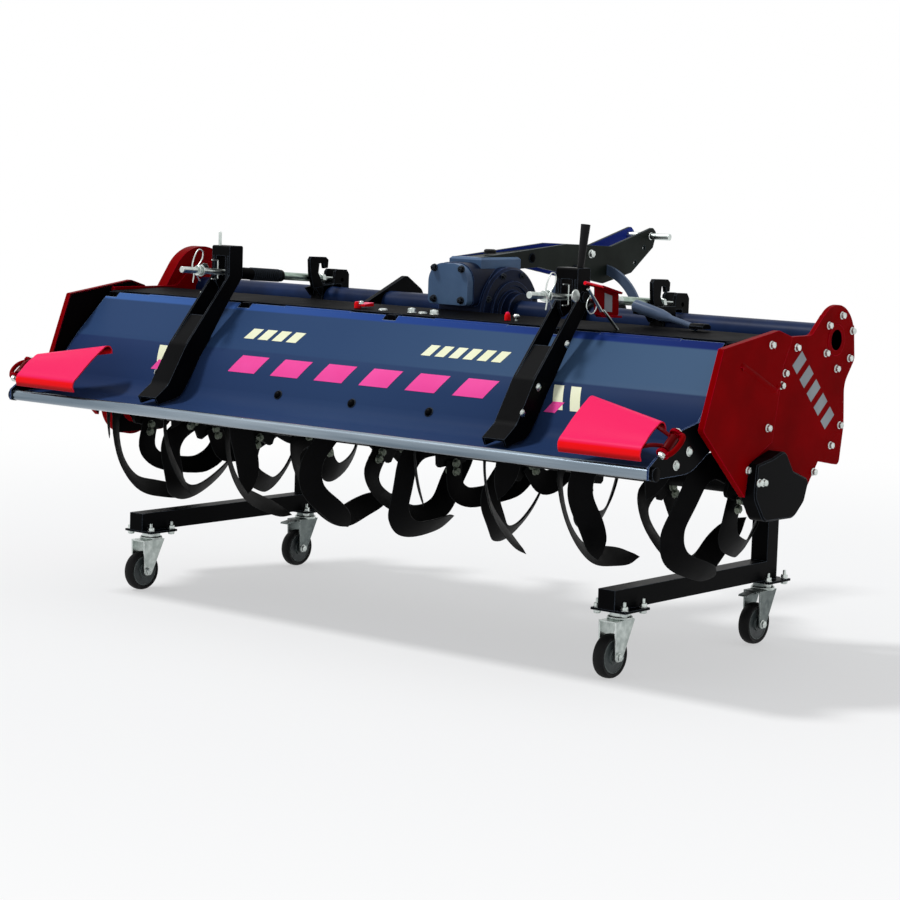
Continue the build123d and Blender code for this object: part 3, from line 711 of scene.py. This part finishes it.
# Rows of leaning bars on the cover: left, step, count, foot, width, height and lean of a bar
pink_rows = [
    (-0.44, 0.157, 6, 0.655, 0.098, 0.044, 0.03), (-0.73, 0, 1, 0.64, 0.034, 0.026, 0.018),
    (0.64, 0, 1, 0.64, 0.034, 0.026, 0.018)]
cream_rows = [
    (-0.45, 0.052, 4, 0.741, 0.036, 0.026, 0.014), (0.18, 0.046, 6, 0.741, 0.03, 0.026, 0.014),
    (-0.712, 0.052, 2, 0.648, 0.03, 0.056, -0.024), (0.664, 0.052, 2, 0.648, 0.03, 0.056, -0.024)]
bar_strips = 5
bar_lift = 0.0007

# Bars on the right end, Y and Z: first corner, step to the next, side, and width as a share of the step
grey_first = Vector((0.098, 0.772))
grey_step = Vector((0.036, -0.036))
grey_along = Vector((0.042, 0.034))
grey_wide = 0.62
grey_count = 5
grey_lift = 0.0006


def add_cover_bars(name, rows, material):
    """Leaning bars laid on the cover, each in strips that follow its bend."""
    cover = tree_of("cover_panel")
    shape = Shape()
    for left, step, count, foot, wide, high, lean in rows:
        for place in range(count):
            rings = []
            for strip in range(bar_strips + 1):
                share = strip / bar_strips
                x = left + place * step + lean * share
                ring = []
                for aside in (0, wide):
                    hit, normal = seat(cover, spot(x + aside, behind, foot + high * share), forward)
                    ring.append(hit + normal * bar_lift)
                rings.append(ring)
            shape.skin(rings, caps=False, around=False)
    add_piece(name, shape, material, "cover", "navy_paint")


def add_marks():
    """Plain leaning bars in pink, cream and grey on the cover and the right end."""
    add_cover_bars("pink_bars", pink_rows, pink_film)
    add_cover_bars("cream_bars", cream_rows, cream_film)
    grey = Shape()
    plate = tree_of("side_plate_right", "guard_right")
    for place in range(grey_count):
        corners = []
        for share, out in ((0, 0), (0, 1), (1, 1), (1, 0)):
            flat = grey_first + grey_step * place + grey_step * grey_wide * out + grey_along * share
            hit, normal = seat(plate, spot(outside, *flat), -right_way)
            corners.append(hit + normal * grey_lift)
        grey.skin([corners[:2], corners[3:1:-1]], caps=False, around=False)
    add_piece("grey_bars", grey, grey_film, "frame", "red_paint")


# Rotor layout
flange_first = 1.0305
flange_count = 10
flange_half = 0.005
flange_side = 0.122
flange_cut = 0.008
blade_first_deg = 168.0
blade_step_deg = 39.3
blades_each = 4
blade_thick = 0.008
root_screws = (0.056, 0.078)
root_head = (0.019, 0.009)
root_nut = (0.019, 0.008)
tube_radius = 0.04
tube_half = 1.06
stub_radius = 0.0248
stub_half = 1.106

# One blade, from its root along the radius: hook's centre and radii, flare and edges
blade_half = 0.03
blade_root = 0.046
blade_neck = 0.12
blade_reach = 0.268
blade_side = 0.092
hook = Vector((-0.127, 0.043, 0))
hook_inner = 0.088
hook_outer = 0.135
hook_degrees = (14, 38, 62, 86)
cut_wide = 0.014
cut_thick = 0.003
edge_soft = 0.0015


def blade_edges():
    """Smooth inner and outer edge of a blade in its own plane."""
    inner = [(-blade_half, blade_root), (-blade_half, 0.1), (-0.046, 0.126), (-0.08, 0.133)]
    outer = [(blade_half, blade_root), (blade_half, 0.126), (0.006, 0.164), (-0.052, 0.182)]
    for degrees in hook_degrees:
        out = Vector((-math.sin(math.radians(degrees)), math.cos(math.radians(degrees)), 0))
        inner.append((hook + out * hook_inner)[:2])
        outer.append((hook + out * hook_outer)[:2])
    inner += [(-0.215, -0.02), (-0.217, -0.07), (-0.228, -0.108)]
    outer += [(-0.262, -0.02), (-0.256, -0.078), (-0.236, -0.124)]
    return [smooth_line([(*point, 0) for point in edge], 4) for edge in (inner, outer)]


def rotor_axis():
    """Middle of the rotor."""
    low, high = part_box("rotor")
    return Vector((zero.x, (low.y + high.y) / 2, (low.z + high.z) / 2))


def round_rotor(angle):
    """Directions outward and onward at an angle about the rotor."""
    return Vector((0, math.cos(angle), math.sin(angle))), Vector((0, -math.sin(angle), math.cos(angle)))


def blade_hand(place, blade):
    """Side that a blade flares to: left and right by turns, and inward on the outer flanges."""
    if place == 0:
        return 1
    if place == flange_count - 1 or blade % 2 == 0:
        return -1
    return 1


def flanges():
    """Centre and angle of each flange, and angle and flare of each of its blades."""
    for place in range(flange_count):
        x = -flange_first + 2 * flange_first * place / (flange_count - 1)
        turn = math.radians(blade_first_deg + blade_step_deg * place)
        apart = 2 * math.pi / blades_each
        blades = [(turn + apart * blade, blade_hand(place, blade)) for blade in range(blades_each)]
        yield rotor_axis() + right_way * x, turn, blades


def add_blade(shape, centre, angle, hand, inner, outer):
    """Hooked blade with a sharpened outer edge, flared to one side."""
    up, back = round_rotor(angle)
    rings = []
    for near, far in zip(inner, outer):
        wide = (far - near).length
        way = (far - near).normalized()
        section = [
            (0, blade_thick - edge_soft), (0, edge_soft), (edge_soft, 0), (wide - cut_wide, 0),
            (wide, cut_thick), (wide, cut_thick * 1.6), (wide - cut_wide, blade_thick),
            (edge_soft, blade_thick)]
        ring = []
        for run, deep in section:
            flat = near + way * run
            share = max(0.0, flat.length - blade_neck) / (blade_reach - blade_neck)
            side = hand * (flange_half + blade_side * share ** 1.5 + deep)
            ring.append(centre + right_way * side - back * flat.x + up * flat.y)
        rings.append(ring)
    shape.skin(rings)


def add_rotor():
    """Rotor with its tube, flanges and smooth hooked blades in a helix."""
    inner, outer = blade_edges()
    shape = Shape()
    shape.turned([
        (stub_radius, -stub_half), (stub_radius, -tube_half), (tube_radius, -tube_half),
        (tube_radius, tube_half), (stub_radius, tube_half), (stub_radius, stub_half)],
        rotor_axis(), right_way, 40)
    half = flange_side / 2
    cut = half - flange_cut
    corners = [
        (half, cut), (cut, half), (-cut, half), (-half, cut), (-half, -cut), (-cut, -half), (cut, -half),
        (half, -cut)]
    for centre, turn, blades in flanges():
        along, aside = round_rotor(turn)
        shape.skin([
            [centre + right_way * side + along * u + aside * v for u, v in corners]
            for side in (-flange_half, flange_half)])
        for angle, hand in blades:
            add_blade(shape, centre, angle, hand, inner, outer)
    add_piece("rotor_blades", shape, tine_black, "rotor", "black_paint", 32.0, "rotor")


def add_rotor_screws():
    """Two nuts and heads on each blade's root."""
    shape = Shape()
    for centre, _, blades in flanges():
        for angle, hand in blades:
            way = right_way * hand
            for radius in root_screws:
                middle = centre + round_rotor(angle)[0] * radius
                hex_screw(shape, middle + way * (flange_half + blade_thick), way, *root_head)
                hex_screw(shape, middle - way * flange_half, -way, *root_nut)
    add_piece("rotor_screws", shape, dull_zinc, "rotor", "zinc")


# Casters: rings from the tyre's side to its crown, from there to the axle, and of the rim; as
# pairs of a radius and a share of the wheel's half width
wheel_half = 0.016
crown_rings = [(0.044, 0.86), (0.0505, 0.98), (0.0532, 0.72), (0.0546, 0.4), (0.055, 0.0)]
side_rings = [
    (0.0405, 0.62), (0.0385, 0.5), (0.02, 0.46), (0.018, 0.95), (0.011, 0.98), (0.0105, 0.8),
    (0.0061, 0.78)]
rim_rings = [
    (0.0425, 0.78), (0.0418, 0.86), (0.04, 0.84), (0.038, 0.6), (0.033, 0.5), (0.03, 0.56),
    (0.024, 0.56), (0.0205, 0.6), (0.0185, 1.00), (0.011, 1.03), (0.0105, 0.9)]

# Fork's axle screws and swivel ring, and the foot plate's screws with their ends
axle_screw_x = 0.0262
axle_screw = (0.017, 0.007)
swivel_rings = [(0.03, -0.002), (0.032, 0.001), (0.032, 0.005), (0.029, 0.008)]
swivel_z = 0.1435
foot_screw_at = 0.04
foot_top = 0.171
foot_under = 0.165
foot_nut = (0.016, 0.009)
foot_head = (0.016, 0.007)
foot_screw_end = [(0.0045, 0.009), (0.0045, 0.021), (0.0035, 0.0225)]


def add_wheels():
    """Wheels with tread, and their rims and hubs."""
    crown = [(radius, share * wheel_half) for radius, share in crown_rings]
    tyre = [(r, -h) for r, h in crown] + [(r, h) for r, h in crown[::-1][1:]]
    side = [(radius, share * wheel_half) for radius, share in side_rings]
    profile = [(r, -h) for r, h in side[::-1]] + tyre + side
    rim = [(radius, share * wheel_half) for radius, share in rim_rings]
    for joint in frame["joints"]:
        if not joint["name"].endswith("_roll"):
            continue
        body = joint["child"]
        axle = Vector(joint["pos_m"])
        shape = Shape()
        shape.turned(profile, axle, right_way, 48, closed=True)
        add_piece(body + "_tyre", shape, rubber, body, "tyre_black", replaced=body)
        rims = Shape()
        for way in (-1, 1):
            rims.turned(rim, axle, right_way * way, 36)
        add_piece(body + "_rim", rims, rim_grey, body, "grip_black")


def add_caster_screws():
    """Axle screws and swivel ring of each caster's fork, and the screws of its foot plate."""
    for joint in frame["joints"]:
        if not joint["name"].endswith("_swivel"):
            continue
        body = joint["child"]
        centre = Vector(joint["pos_m"])
        axle = Vector([j["pos_m"] for j in frame["joints"] if j["parent"] == body][0])
        shape = Shape()
        for side in (-1, 1):
            hex_screw(shape, axle + right_way * side * axle_screw_x, right_way * side, *axle_screw)
        shape.turned(swivel_rings, (centre.x, centre.y, swivel_z), upward, 28)
        add_piece(body + "_axle_screws", shape, zinc, body, "zinc")
        feet = Shape()
        for dx in (-foot_screw_at, foot_screw_at):
            for dy in (-foot_screw_at, foot_screw_at):
                x = centre.x + dx
                y = centre.y + dy
                hex_screw(feet, (x, y, foot_top), upward, *foot_nut)
                feet.turned(foot_screw_end, (x, y, foot_top), upward, 10)
                hex_screw(feet, (x, y, foot_under), -upward, *foot_head)
        add_piece(body + "_foot_screws", feet, zinc, "frame", "zinc")


# Gearbox details, machine axes: lid screws, the drum's faces, and its ring of bolts
lid_screw_y = 0.126
lid_screw_x = 0.0475
lid_screw_z = (0.866, 0.95)
lid_head = (0.016, 0.008)
drum_faces = ((1, 0.085), (-1, -0.075))
drum_bolt_ring = 0.112
drum_bolts = 8
drum_head = (0.014, 0.006)
drum_rings = [
    (0.092, 0), (0.09, 0.006), (0.078, 0.007), (0.076, 0.002), (0.066, 0.002), (0.062, 0.012),
    (0.059, 0.012)]

# Half width, rear, front and height of the gearbox turret's steps, and the cap on top of it
turret_steps = [
    (0.056, 0.198, 0.372, 0.936), (0.056, 0.198, 0.372, 0.974), (0.05, 0.204, 0.366, 0.98)]
filler_rings = [(0.017, 0), (0.017, 0.009), (0.013, 0.012)]
filler_spot = (0, 0.305, 0.988)


def add_gearbox_details():
    """Screws, rings, turret and filler cap of the gearbox."""
    screws = Shape()
    for x in (-lid_screw_x, lid_screw_x):
        for z in lid_screw_z:
            hex_screw(screws, spot(x, lid_screw_y, z), -forward, *lid_head)
    rings = Shape()
    for side, face in drum_faces:
        for step in range(drum_bolts):
            angle = 2 * math.pi / drum_bolts * (step + 0.5)
            y = pipe_spot[0] + drum_bolt_ring * math.cos(angle)
            z = pipe_spot[1] + drum_bolt_ring * math.sin(angle)
            hex_screw(screws, spot(face, y, z), right_way * side, *drum_head)
        rings.turned(drum_rings, spot(face, *pipe_spot), right_way * side, 40)
    add_piece("gearbox_screws", screws, black, "frame", "black_paint")
    add_piece("drum_rings", rings, gearbox_black_with_painted_sky_blue, "frame", "black_paint")
    turret = Shape()
    turret.skin([
        [spot(-half, rear, z), spot(half, rear, z), spot(half, front, z), spot(-half, front, z)]
        for half, rear, front, z in turret_steps])
    add_piece("gearbox_turret", turret, gearbox_painted_light, "frame", "black_paint")
    add_turned("filler_cap", filler_rings, spot(*filler_spot), upward, 20, grip, "frame", "grip_black")


# Rods, machine axes: both ends, and their fittings by share of the length
rod_x = 0.597
rod_front = (0.342, 0.884)
rod_rear = (-0.29, 0.922)
flats_to_corner = 1.732
nut_half = 0.006
rod_nuts = ((0.105, 0.026), (0.14, 0.024))
washer_half = 0.0015
rod_washers = ((0.17, 0.015), (0.885, 0.016), (0.905, 0.014))
rod_tube = [(0.008, 0.0), (0.0113, 0.001), (0.0113, 0.15), (0.008, 0.151)]
rod_tube_share = 0.16
rod_sleeve = [(0.0122, 0.0), (0.0168, 0.002), (0.0168, 0.17), (0.012, 0.18)]
rod_sleeve_share = 0.375

# Spring on the left rod
spring_share = 0.395
spring_radius = 0.017
spring_long = 0.116
spring_turns = 15
spring_steps = 20
spring_wire = 0.0014

# Spring clip beside the rod's pin, Y and Z
clip_share = 0.915
clip_aside = 0.011
clip_wire = 0.0019
clip_loop = [
    (0, -0.034), (0.004, -0.01), (-0.003, 0.012), (0.006, 0.04), (0.02, 0.056), (0.036, 0.05),
    (0.034, 0.03), (0.016, 0.008), (0.01, -0.006), (0.018, -0.018), (0.026, -0.03)]


def rod_place(side, share):
    """Point on a rod, from its front eye to its rear end."""
    y = rod_front[0] + (rod_rear[0] - rod_front[0]) * share
    z = rod_front[1] + (rod_rear[1] - rod_front[1]) * share
    return spot(side * rod_x, y, z)


def add_spring(along):
    """Helical spring round the left rod."""
    side = along.orthogonal().normalized()
    other = along.cross(side)
    count = spring_turns * spring_steps
    line = []
    for step in range(count + 1):
        angle = 2 * math.pi * step / spring_steps
        out = side * math.cos(angle) + other * math.sin(angle)
        line.append(rod_place(-1, spring_share) + along * spring_long * step / count + out * spring_radius)
    spring = Shape()
    spring.tube(line, spring_wire)
    add_piece("rod_spring_left", spring, black, "frame", "black_paint")


def add_rods():
    """Nuts, washers, clips and tubes along both rods, and the left rod's sleeve and spring."""
    along = (rod_place(1, 1) - rod_place(1, 0)).normalized()
    for side, name in both_sides:
        fittings = Shape()
        for share, wide in rod_nuts:
            corner = wide / flats_to_corner
            fittings.turned([(corner, -nut_half), (corner, nut_half)], rod_place(side, share), along, 6)
        for share, radius in rod_washers:
            washer = [(radius, -washer_half), (radius, washer_half)]
            fittings.turned(washer, rod_place(side, share), along, 24)
        add_piece("rod_fittings_" + name, fittings, zinc, "frame", "zinc")
        pin = rod_place(side, clip_share)
        clip = Shape()
        clip.tube(smooth_line([pin + Vector((side * clip_aside, y, z)) for y, z in clip_loop]), clip_wire)
        add_piece("rod_clip_" + name, clip, zinc, "frame", "zinc")
        start = rod_place(side, rod_tube_share)
        add_turned("rod_tube_" + name, rod_tube, start, along, 24, green_zinc, "frame", "zinc")
    start = rod_place(-1, rod_sleeve_share)
    add_turned("rod_sleeve_left", rod_sleeve, start, along, 24, black, "frame", "black_paint")
    add_spring(along)


# Arm heads, machine axes
disc_rings = [(0.0165, 0), (0.0165, 0.001), (0.015, 0.0025), (0.0045, 0.0028)]
disc_spot = (-0.16, 0.919)
disc_x = 0.64
slot_x = 0.606
slot_wire = 0.0018
slot_corners = [(-0.166, 0.946), (-0.142, 0.946), (-0.142, 0.894), (-0.166, 0.894)]
arm_screws = [(-0.285, 0.7), (-0.345, 0.64), (-0.175, 0.8)]
arm_head = (0.008, 0.005)
arm_aside = 0.9
arm_pin = [(0.0045, 0), (0.0045, 0.036), (0.003, 0.04)]
arm_pin_spot = (-0.61, -0.131, 0.984)


def add_arm_details():
    """Pivot discs, slot frames and screws of the arms, and the left arm's pin."""
    for side, name in both_sides:
        place = spot(side * disc_x, *disc_spot)
        add_turned("pivot_disc_" + name, disc_rings, place, right_way * side, 28, zinc, "cover", "zinc")
        wire = Shape()
        for start, end in zip(slot_corners, slot_corners[1:]):
            wire.tube([spot(side * slot_x, *start), spot(side * slot_x, *end)], slot_wire, 6)
        add_piece("slot_frame_" + name, wire, zinc, "frame", "zinc")
    arms = tree_of("arm_left", "arm_right")
    dots = Shape()
    for side in (-1, 1):
        starts = beside(side * arm_aside, arm_screws)
        set_screws(dots, arms, starts, -right_way * side, dome_screw, *arm_head)
    add_piece("arm_screws", dots, zinc, "cover", "zinc")
    add_turned("arm_pin_left", arm_pin, spot(*arm_pin_spot), upward, 12, zinc, "cover", "zinc")


# Lock's pins beside the right arm, machine axes: lines with their radii, and the ring through them
lock_pins = [
    ([(0.668, -0.146, 0.938), (0.668, -0.093, 0.886), (0.668, -0.088, 0.882)], 0.0042),
    ([(0.672, -0.086, 0.884), (0.672, -0.075, 0.876), (0.672, -0.012, 0.826)], 0.0036)]
lock_rod = [(0.662, -0.152, 0.952), (0.662, -0.11, 0.945), (0.662, -0.08, 0.94)]
lock_rod_radius = 0.0048
lock_ring_spot = (0.664, -0.124, 0.897)
lock_ring_radius = 0.021
lock_ring_steps = 24
lock_ring_wire = 0.0016

# Screws of the mast, Y and Z
mast_aside = 0.5
mast_bolt = [(0.716, 0.985)]
mast_bolt_head = (0.019, 0.008)
mast_studs = [(0.439, 0.976), (0.64, 0.94)]
mast_stud_head = (0.012, 0.005)


def add_lock_and_mast_pins():
    """The lock's pins, ring and red rod, and the mast's bolt and studs."""
    pins = Shape()
    for line, radius in lock_pins:
        pins.tube([spot(*point) for point in line], radius, 10)
    ring = circle(spot(*lock_ring_spot), forward, upward, lock_ring_radius, lock_ring_steps)
    pins.tube(ring + ring[:1], lock_ring_wire)
    add_piece("lock_pins", pins, zinc, "frame", "zinc")
    mast = tree_of("mast")
    for name, places, head, sizes, *look in (
            ("mast_bolt", mast_bolt, hex_screw, mast_bolt_head, zinc, "frame", "zinc"),
            ("mast_studs", mast_studs, dome_screw, mast_stud_head, deep_black, "frame", "black_paint")):
        add_screws(name, mast, beside(mast_aside, places), -right_way, head, sizes, *look)
    rod = Shape()
    rod.tube([spot(*point) for point in lock_rod], lock_rod_radius, 10)
    add_piece("lock_rod", rod, wing_red_painted_light, "frame", "red_paint")


# Rod brackets in Y and Z: clevis cheeks round the rod's eye, their saddle on the pipe, and the hook behind
clevis = [
    (0.262, 0.827), (0.306, 0.872), (0.31, 0.908), (0.318, 0.915), (0.362, 0.913), (0.372, 0.9),
    (0.372, 0.85), (0.34, 0.827)]
saddle = [(0.254, 0.827), (0.262, 0.872), (0.34, 0.872), (0.344, 0.827)]
hook_sheet = [
    (0.216, 0.862), (0.202, 0.905), (0.199, 0.944), (0.206, 0.953), (0.268, 0.951), (0.279, 0.943),
    (0.277, 0.92), (0.262, 0.918), (0.258, 0.933), (0.24, 0.934), (0.236, 0.905), (0.262, 0.866)]
hook_root = [(0.226, 0.862), (0.262, 0.868), (0.3, 0.872), (0.262, 0.84), (0.25, 0.838)]
cheek_x = ((0.575, 0.583), (0.611, 0.619))
hook_aside = 0.013
hook_thick = 0.011


def add_rod_brackets():
    """Clevis, saddle and hook of both rods on the main pipe."""
    for side, name in both_sides:
        shape = Shape()
        for start, end in cheek_x:
            shape.sheet(clevis, side * start, side * end)
            shape.sheet(hook_root, side * start, side * end)
        claw = side * rod_x + hook_aside
        shape.sheet(hook_sheet, claw, claw + hook_thick)
        shape.sheet(saddle, side * cheek_x[0][0], side * cheek_x[1][1])
        add_piece("rod_claw_" + name, shape, black, "frame", "black_paint", replaced="rod_bracket_" + name)


# Lock block in Y and Z: web, upper and lower flange, foot at the rod and blank plate
block_web = [
    (-0.092, 0.941), (-0.08, 0.945), (0.004, 0.926), (0.01, 0.918), (0.012, 0.87), (0.004, 0.862),
    (-0.078, 0.866), (-0.088, 0.874)]
block_top = block_web[0:3] + [(0.002, 0.921), (-0.08, 0.94)]
block_foot = [
    (-0.088, 0.874), (-0.078, 0.866), (0.004, 0.862), (0.004, 0.867), (-0.076, 0.871), (-0.083, 0.877)]
rod_foot = [(0.004, 0.888), (0.012, 0.888), (0.012, 0.912), (0.004, 0.912)]
blank_plate = [(-0.052, 0.925), (-0.02, 0.917), (-0.018, 0.876), (-0.05, 0.879)]


def add_lock():
    """Red lock block beside the right arm, its foot at the rod and its blank plate."""
    shape = Shape()
    shape.sheet(block_web, 0.6455, 0.65, 0.001)
    shape.sheet(block_top, 0.6455, 0.666, 0.0005)
    shape.sheet(block_foot, 0.6455, 0.666, 0.0005)
    shape.sheet(rod_foot, 0.606, 0.646, 0.0005)
    add_piece("lock_block", shape, red, "frame", "red_paint", replaced="lock_bracket")
    plate = Shape()
    plate.sheet(blank_plate, 0.65, 0.6512, 0.0003)
    add_piece("lock_plate", plate, grey_film, "frame", "red_paint")


# Stay in machine axes: start of its line, slope, and radius and height pairs; its strap and foot in Y and Z
stay_start = (0.636, 0.1, 0.889)
stay_slope = Vector((0.195, 0, -0.046))
stay_rings = [
    (0.0135, 0), (0.0165, 0.003), (0.0165, 0.03), (0.015, 0.085), (0.011, 0.108), (0.0082, 0.116),
    (0.0078, 0.196)]
stay_strap = [(0.092, 0.868), (0.27, 0.847), (0.27, 0.883), (0.092, 0.886)]
stay_foot = [
    (0.082, 0.8425), (0.12, 0.8425), (0.12, 0.85), (0.11, 0.856), (0.09, 0.856), (0.082, 0.85)]


def add_stay():
    """Tapered stay with its front strap and its foot on the hood."""
    add_turned("stay_tube", stay_rings, spot(*stay_start), stay_slope, 28, hoop_grey, "frame", "black_paint",
               replaced="stay")
    rest = Shape()
    rest.sheet(stay_strap, 0.636, 0.648)
    rest.sheet(stay_foot, 0.814, 0.856)
    add_piece("stay_foot", rest, black, "frame", "black_paint")


# Wing profile from its pin in Y and Z: lip, then the ends of its slope, and the roll at its rear
wing_axis = Vector((1.106, -0.411, 0.616))
wing_pin_way = Vector((0, 59, 48)).normalized()
wing_inner = 0.832
wing_outer = 1.066
wing_sheet = 0.0035
wing_lip = [(-0.054, -0.041), (-0.0585, -0.03), (-0.058, -0.019), (-0.052, -0.008), (-0.04, 0.002)]
wing_slope_end = ((0.05, 0.074), (0.004, 0.036))
wing_slope_rise = Vector((-0.001, 0.002))
wing_roll = [
    (0, 0), (0.012, 0.0075), (0.023, 0.0095), (0.032, 0.006), (0.038, -0.003), (0.04, -0.013)]
wing_stations = 9

# Hinge: rings of the knuckle and of an ear, and outward, square and along places of the knuckle's
# arms and of the strap
knuckle_rings = [
    (0.0062, -0.022), (0.0105, -0.022), (0.011, -0.021), (0.011, 0.021), (0.0105, 0.022), (0.0062, 0.022)]
knuckle_arm = [
    (-0.006, -0.009, 1.0), (-0.03, -0.016, 1.5), (-0.06, -0.017, 2.2), (-0.11, -0.017, 2.6)]
arm_along = 0.017
arm_radius = 0.005
ear_rings = [
    (0.0062, -0.004), (0.0145, -0.004), (0.016, -0.0025), (0.016, 0.0025), (0.0145, 0.004), (0.0062, 0.004)]
ear_along = 0.033
strap_half = [(0.002, 0.004, 0.033), (0.019, 0.001, 0.03), (0.029, -0.003, 0.012)]
strap_radius = 0.0062
pin_rings = [(0.006, -0.039), (0.006, 0.039)]
pin_head_along = 0.0365
pin_head = (0.015, 0.007)


def wing_ring(x, share):
    """Closed section of the wing's sheet at a place along X."""
    end = Vector(wing_slope_end[0]).lerp(Vector(wing_slope_end[1]), share)
    last = Vector(wing_lip[-1])
    knots = [Vector(point) for point in wing_lip]
    knots += [last.lerp(end, part) + wing_slope_rise for part in (0.35, 0.7)]
    knots += [end + Vector(point) for point in wing_roll]
    line = smooth_line([(0, *point) for point in knots], 3)
    under = []
    for place, here in enumerate(line):
        way = heading(line, place)
        under.append(here + Vector((0, way.z, -way.y)) * wing_sheet)
    return [spot(x, wing_axis.y + point.y, wing_axis.z + point.z) for point in line + under[::-1]]


def on_pin(side, out, aside, along):
    """Point from the wing's pin: outward, square to the pin, and along it."""
    square = wing_pin_way.cross(right_way)
    place = wing_axis + right_way * out + square * aside + wing_pin_way * along
    return spot(side * place.x, place.y, place.z)


def add_wings():
    """Rolled wings on their knuckles, and the hinges' ears, straps and bolts."""
    for side, name in both_sides:
        shape = Shape()
        rings = []
        for station in range(wing_stations):
            share = station / (wing_stations - 1)
            rings.append(wing_ring(side * (wing_inner + (wing_outer - wing_inner) * share), share))
        shape.skin(rings)
        wing = "wing_" + name
        add_piece("wing_sheet_" + name, shape, wing_red_painted_light, wing, "red_paint", 50.0, wing)
        knuckle = Shape()
        middle = on_pin(side, 0, 0, 0)
        axis = middle - on_pin(side, 0, 0, -1)
        knuckle.turned(knuckle_rings, middle, axis, 24)
        for along in (-arm_along, arm_along):
            line = [on_pin(side, out, aside, along * part) for out, aside, part in knuckle_arm]
            knuckle.tube(smooth_line(line), arm_radius, 10)
        add_piece("wing_knuckle_" + name, knuckle, red_painted_shade, wing, "red_paint")
        hinge = Shape()
        for along in (-ear_along, ear_along):
            hinge.turned(ear_rings, on_pin(side, 0, 0, along), axis, 24)
        strap = strap_half + [(out, aside, -along) for out, aside, along in strap_half[::-1]]
        hinge.tube(smooth_line([on_pin(side, *point) for point in strap]), strap_radius, 12)
        hinge.turned(pin_rings, middle, axis, 16)
        add_piece("wing_ears_" + name, hinge, red, "cover", "red_paint", replaced="wing_hinge_" + name)
        bolts = Shape()
        for way in (-1, 1):
            hex_screw(bolts, on_pin(side, 0, 0, way * pin_head_along), axis * way, *pin_head)
        add_piece("wing_bolts_" + name, bolts, zinc, "cover", "zinc")


# Caps over the ends of the cover's bar, as radius and height pairs
bar_half = 1.1
bar_cap = [(0.0152, -0.013), (0.0166, -0.013), (0.0166, 0.0005), (0.014, 0.0025)]


def add_bar_caps():
    """Black caps over both ends of the cover's bar."""
    shape = Shape()
    for side in (-1, 1):
        shape.turned(bar_cap, spot(side * bar_half, bar_y, bar_z), right_way * side, 32)
    add_piece("bar_caps", shape, black, "cover", "black_paint")


# Small fittings on the hood's rear, machine axes: X and height of the screws, and turned forms
above_hood = 1.0
fitting_y = -0.02
hood_screws = [
    (-0.001, 0.01), (0.076, 0.01), (-0.103, 0.003), (0.037, 0.003), (-0.78, 0.01), (-0.71, 0.01)]
hood_screw_wide = 0.019
ball_x = 0.351
ball_rings = [(0.004, 0), (0.004, 0.006), (0.008, 0.009), (0.0085, 0.014), (0.005, 0.018)]
tab_x = -0.193
tab_screw_x = -0.181
tab_wide = 0.03
tab_high = 0.012
tab_rings = [(0.01, 0), (0.01, 0.012), (0.008, 0.018)]
tab_sheet = [(0.012, 0.84), (-0.026, 0.84), (-0.026, 0.846), (0.012, 0.85)]
tab_head = (0.012, 0.006)
nipple_x = 0.322
nipple_rings = [(0.008, 0), (0.008, 0.012), (0.005, 0.02), (0.003, 0.022)]


def on_hood(tree, x):
    """Place on the hood's rear edge, and its outward direction."""
    return seat(tree, spot(x, fitting_y, above_hood), -upward)


def add_hood_fittings():
    """Screws, ball, red tab and red grease nipple along the hood's rear edge."""
    hood = tree_of("hood")
    screws = Shape()
    for x, high in hood_screws:
        hex_screw(screws, *on_hood(hood, x), hood_screw_wide, high)
    screws.turned(ball_rings, on_hood(hood, ball_x)[0], upward, 16)
    hex_screw(screws, on_hood(hood, tab_screw_x)[0] + upward * tab_high, upward, *tab_head)
    add_piece("hood_screws", screws, zinc, "frame", "zinc")
    reds = Shape()
    reds.turned(tab_rings, on_hood(hood, tab_x)[0], upward, 16)
    reds.sheet(tab_sheet, tab_x, tab_x + tab_wide)
    reds.turned(nipple_rings, on_hood(hood, nipple_x)[0], upward, 16)
    add_piece("hood_red_fittings", reds, wing_red_painted_light, "frame", "red_paint")


# Pressed rib on the guards: its line in Y and Z, and its section across and outward
guard_rib = [(-0.152, 0.776), (-0.135, 0.778), (-0.006, 0.72), (0.005, 0.719), (0.012, 0.727)]
rib_section = [(-0.008, 0.0), (-0.005, 0.0022), (0.0, 0.0028), (0.005, 0.0022), (0.008, 0.0)]


def add_guard_rib():
    """Pressed rib across both guards."""
    line = smooth_line([(0, y, z) for y, z in guard_rib], 5)
    for side, name in both_sides:
        guard = tree_of("guard_" + name)
        shape = Shape()
        rings = []
        for place, here in enumerate(line):
            way = heading(line, place)
            above = Vector((0, -way.z, way.y))
            ring = []
            for offset, lift in rib_section:
                flat = here + above * offset
                hit, normal = seat(guard, spot(side * outside, flat.y, flat.z), -right_way * side)
                ring.append(hit + normal * lift)
            rings.append(ring)
        shape.skin(rings, caps=False, around=False)
        add_piece("guard_rib_" + name, shape, red, "frame", "red_paint")


bpy.context.scene.view_settings.view_transform = "Standard"
add_camera()
add_world()
add_sun()
add_floor()
add_end_fittings()
add_cover_screws()
add_marks()
add_rotor()
add_rotor_screws()
add_wheels()
add_caster_screws()
add_gearbox_details()
add_rods()
add_arm_details()
add_lock_and_mast_pins()
add_rod_brackets()
add_lock()
add_stay()
add_wings()
add_bar_caps()
add_hood_fittings()
add_guard_rib()
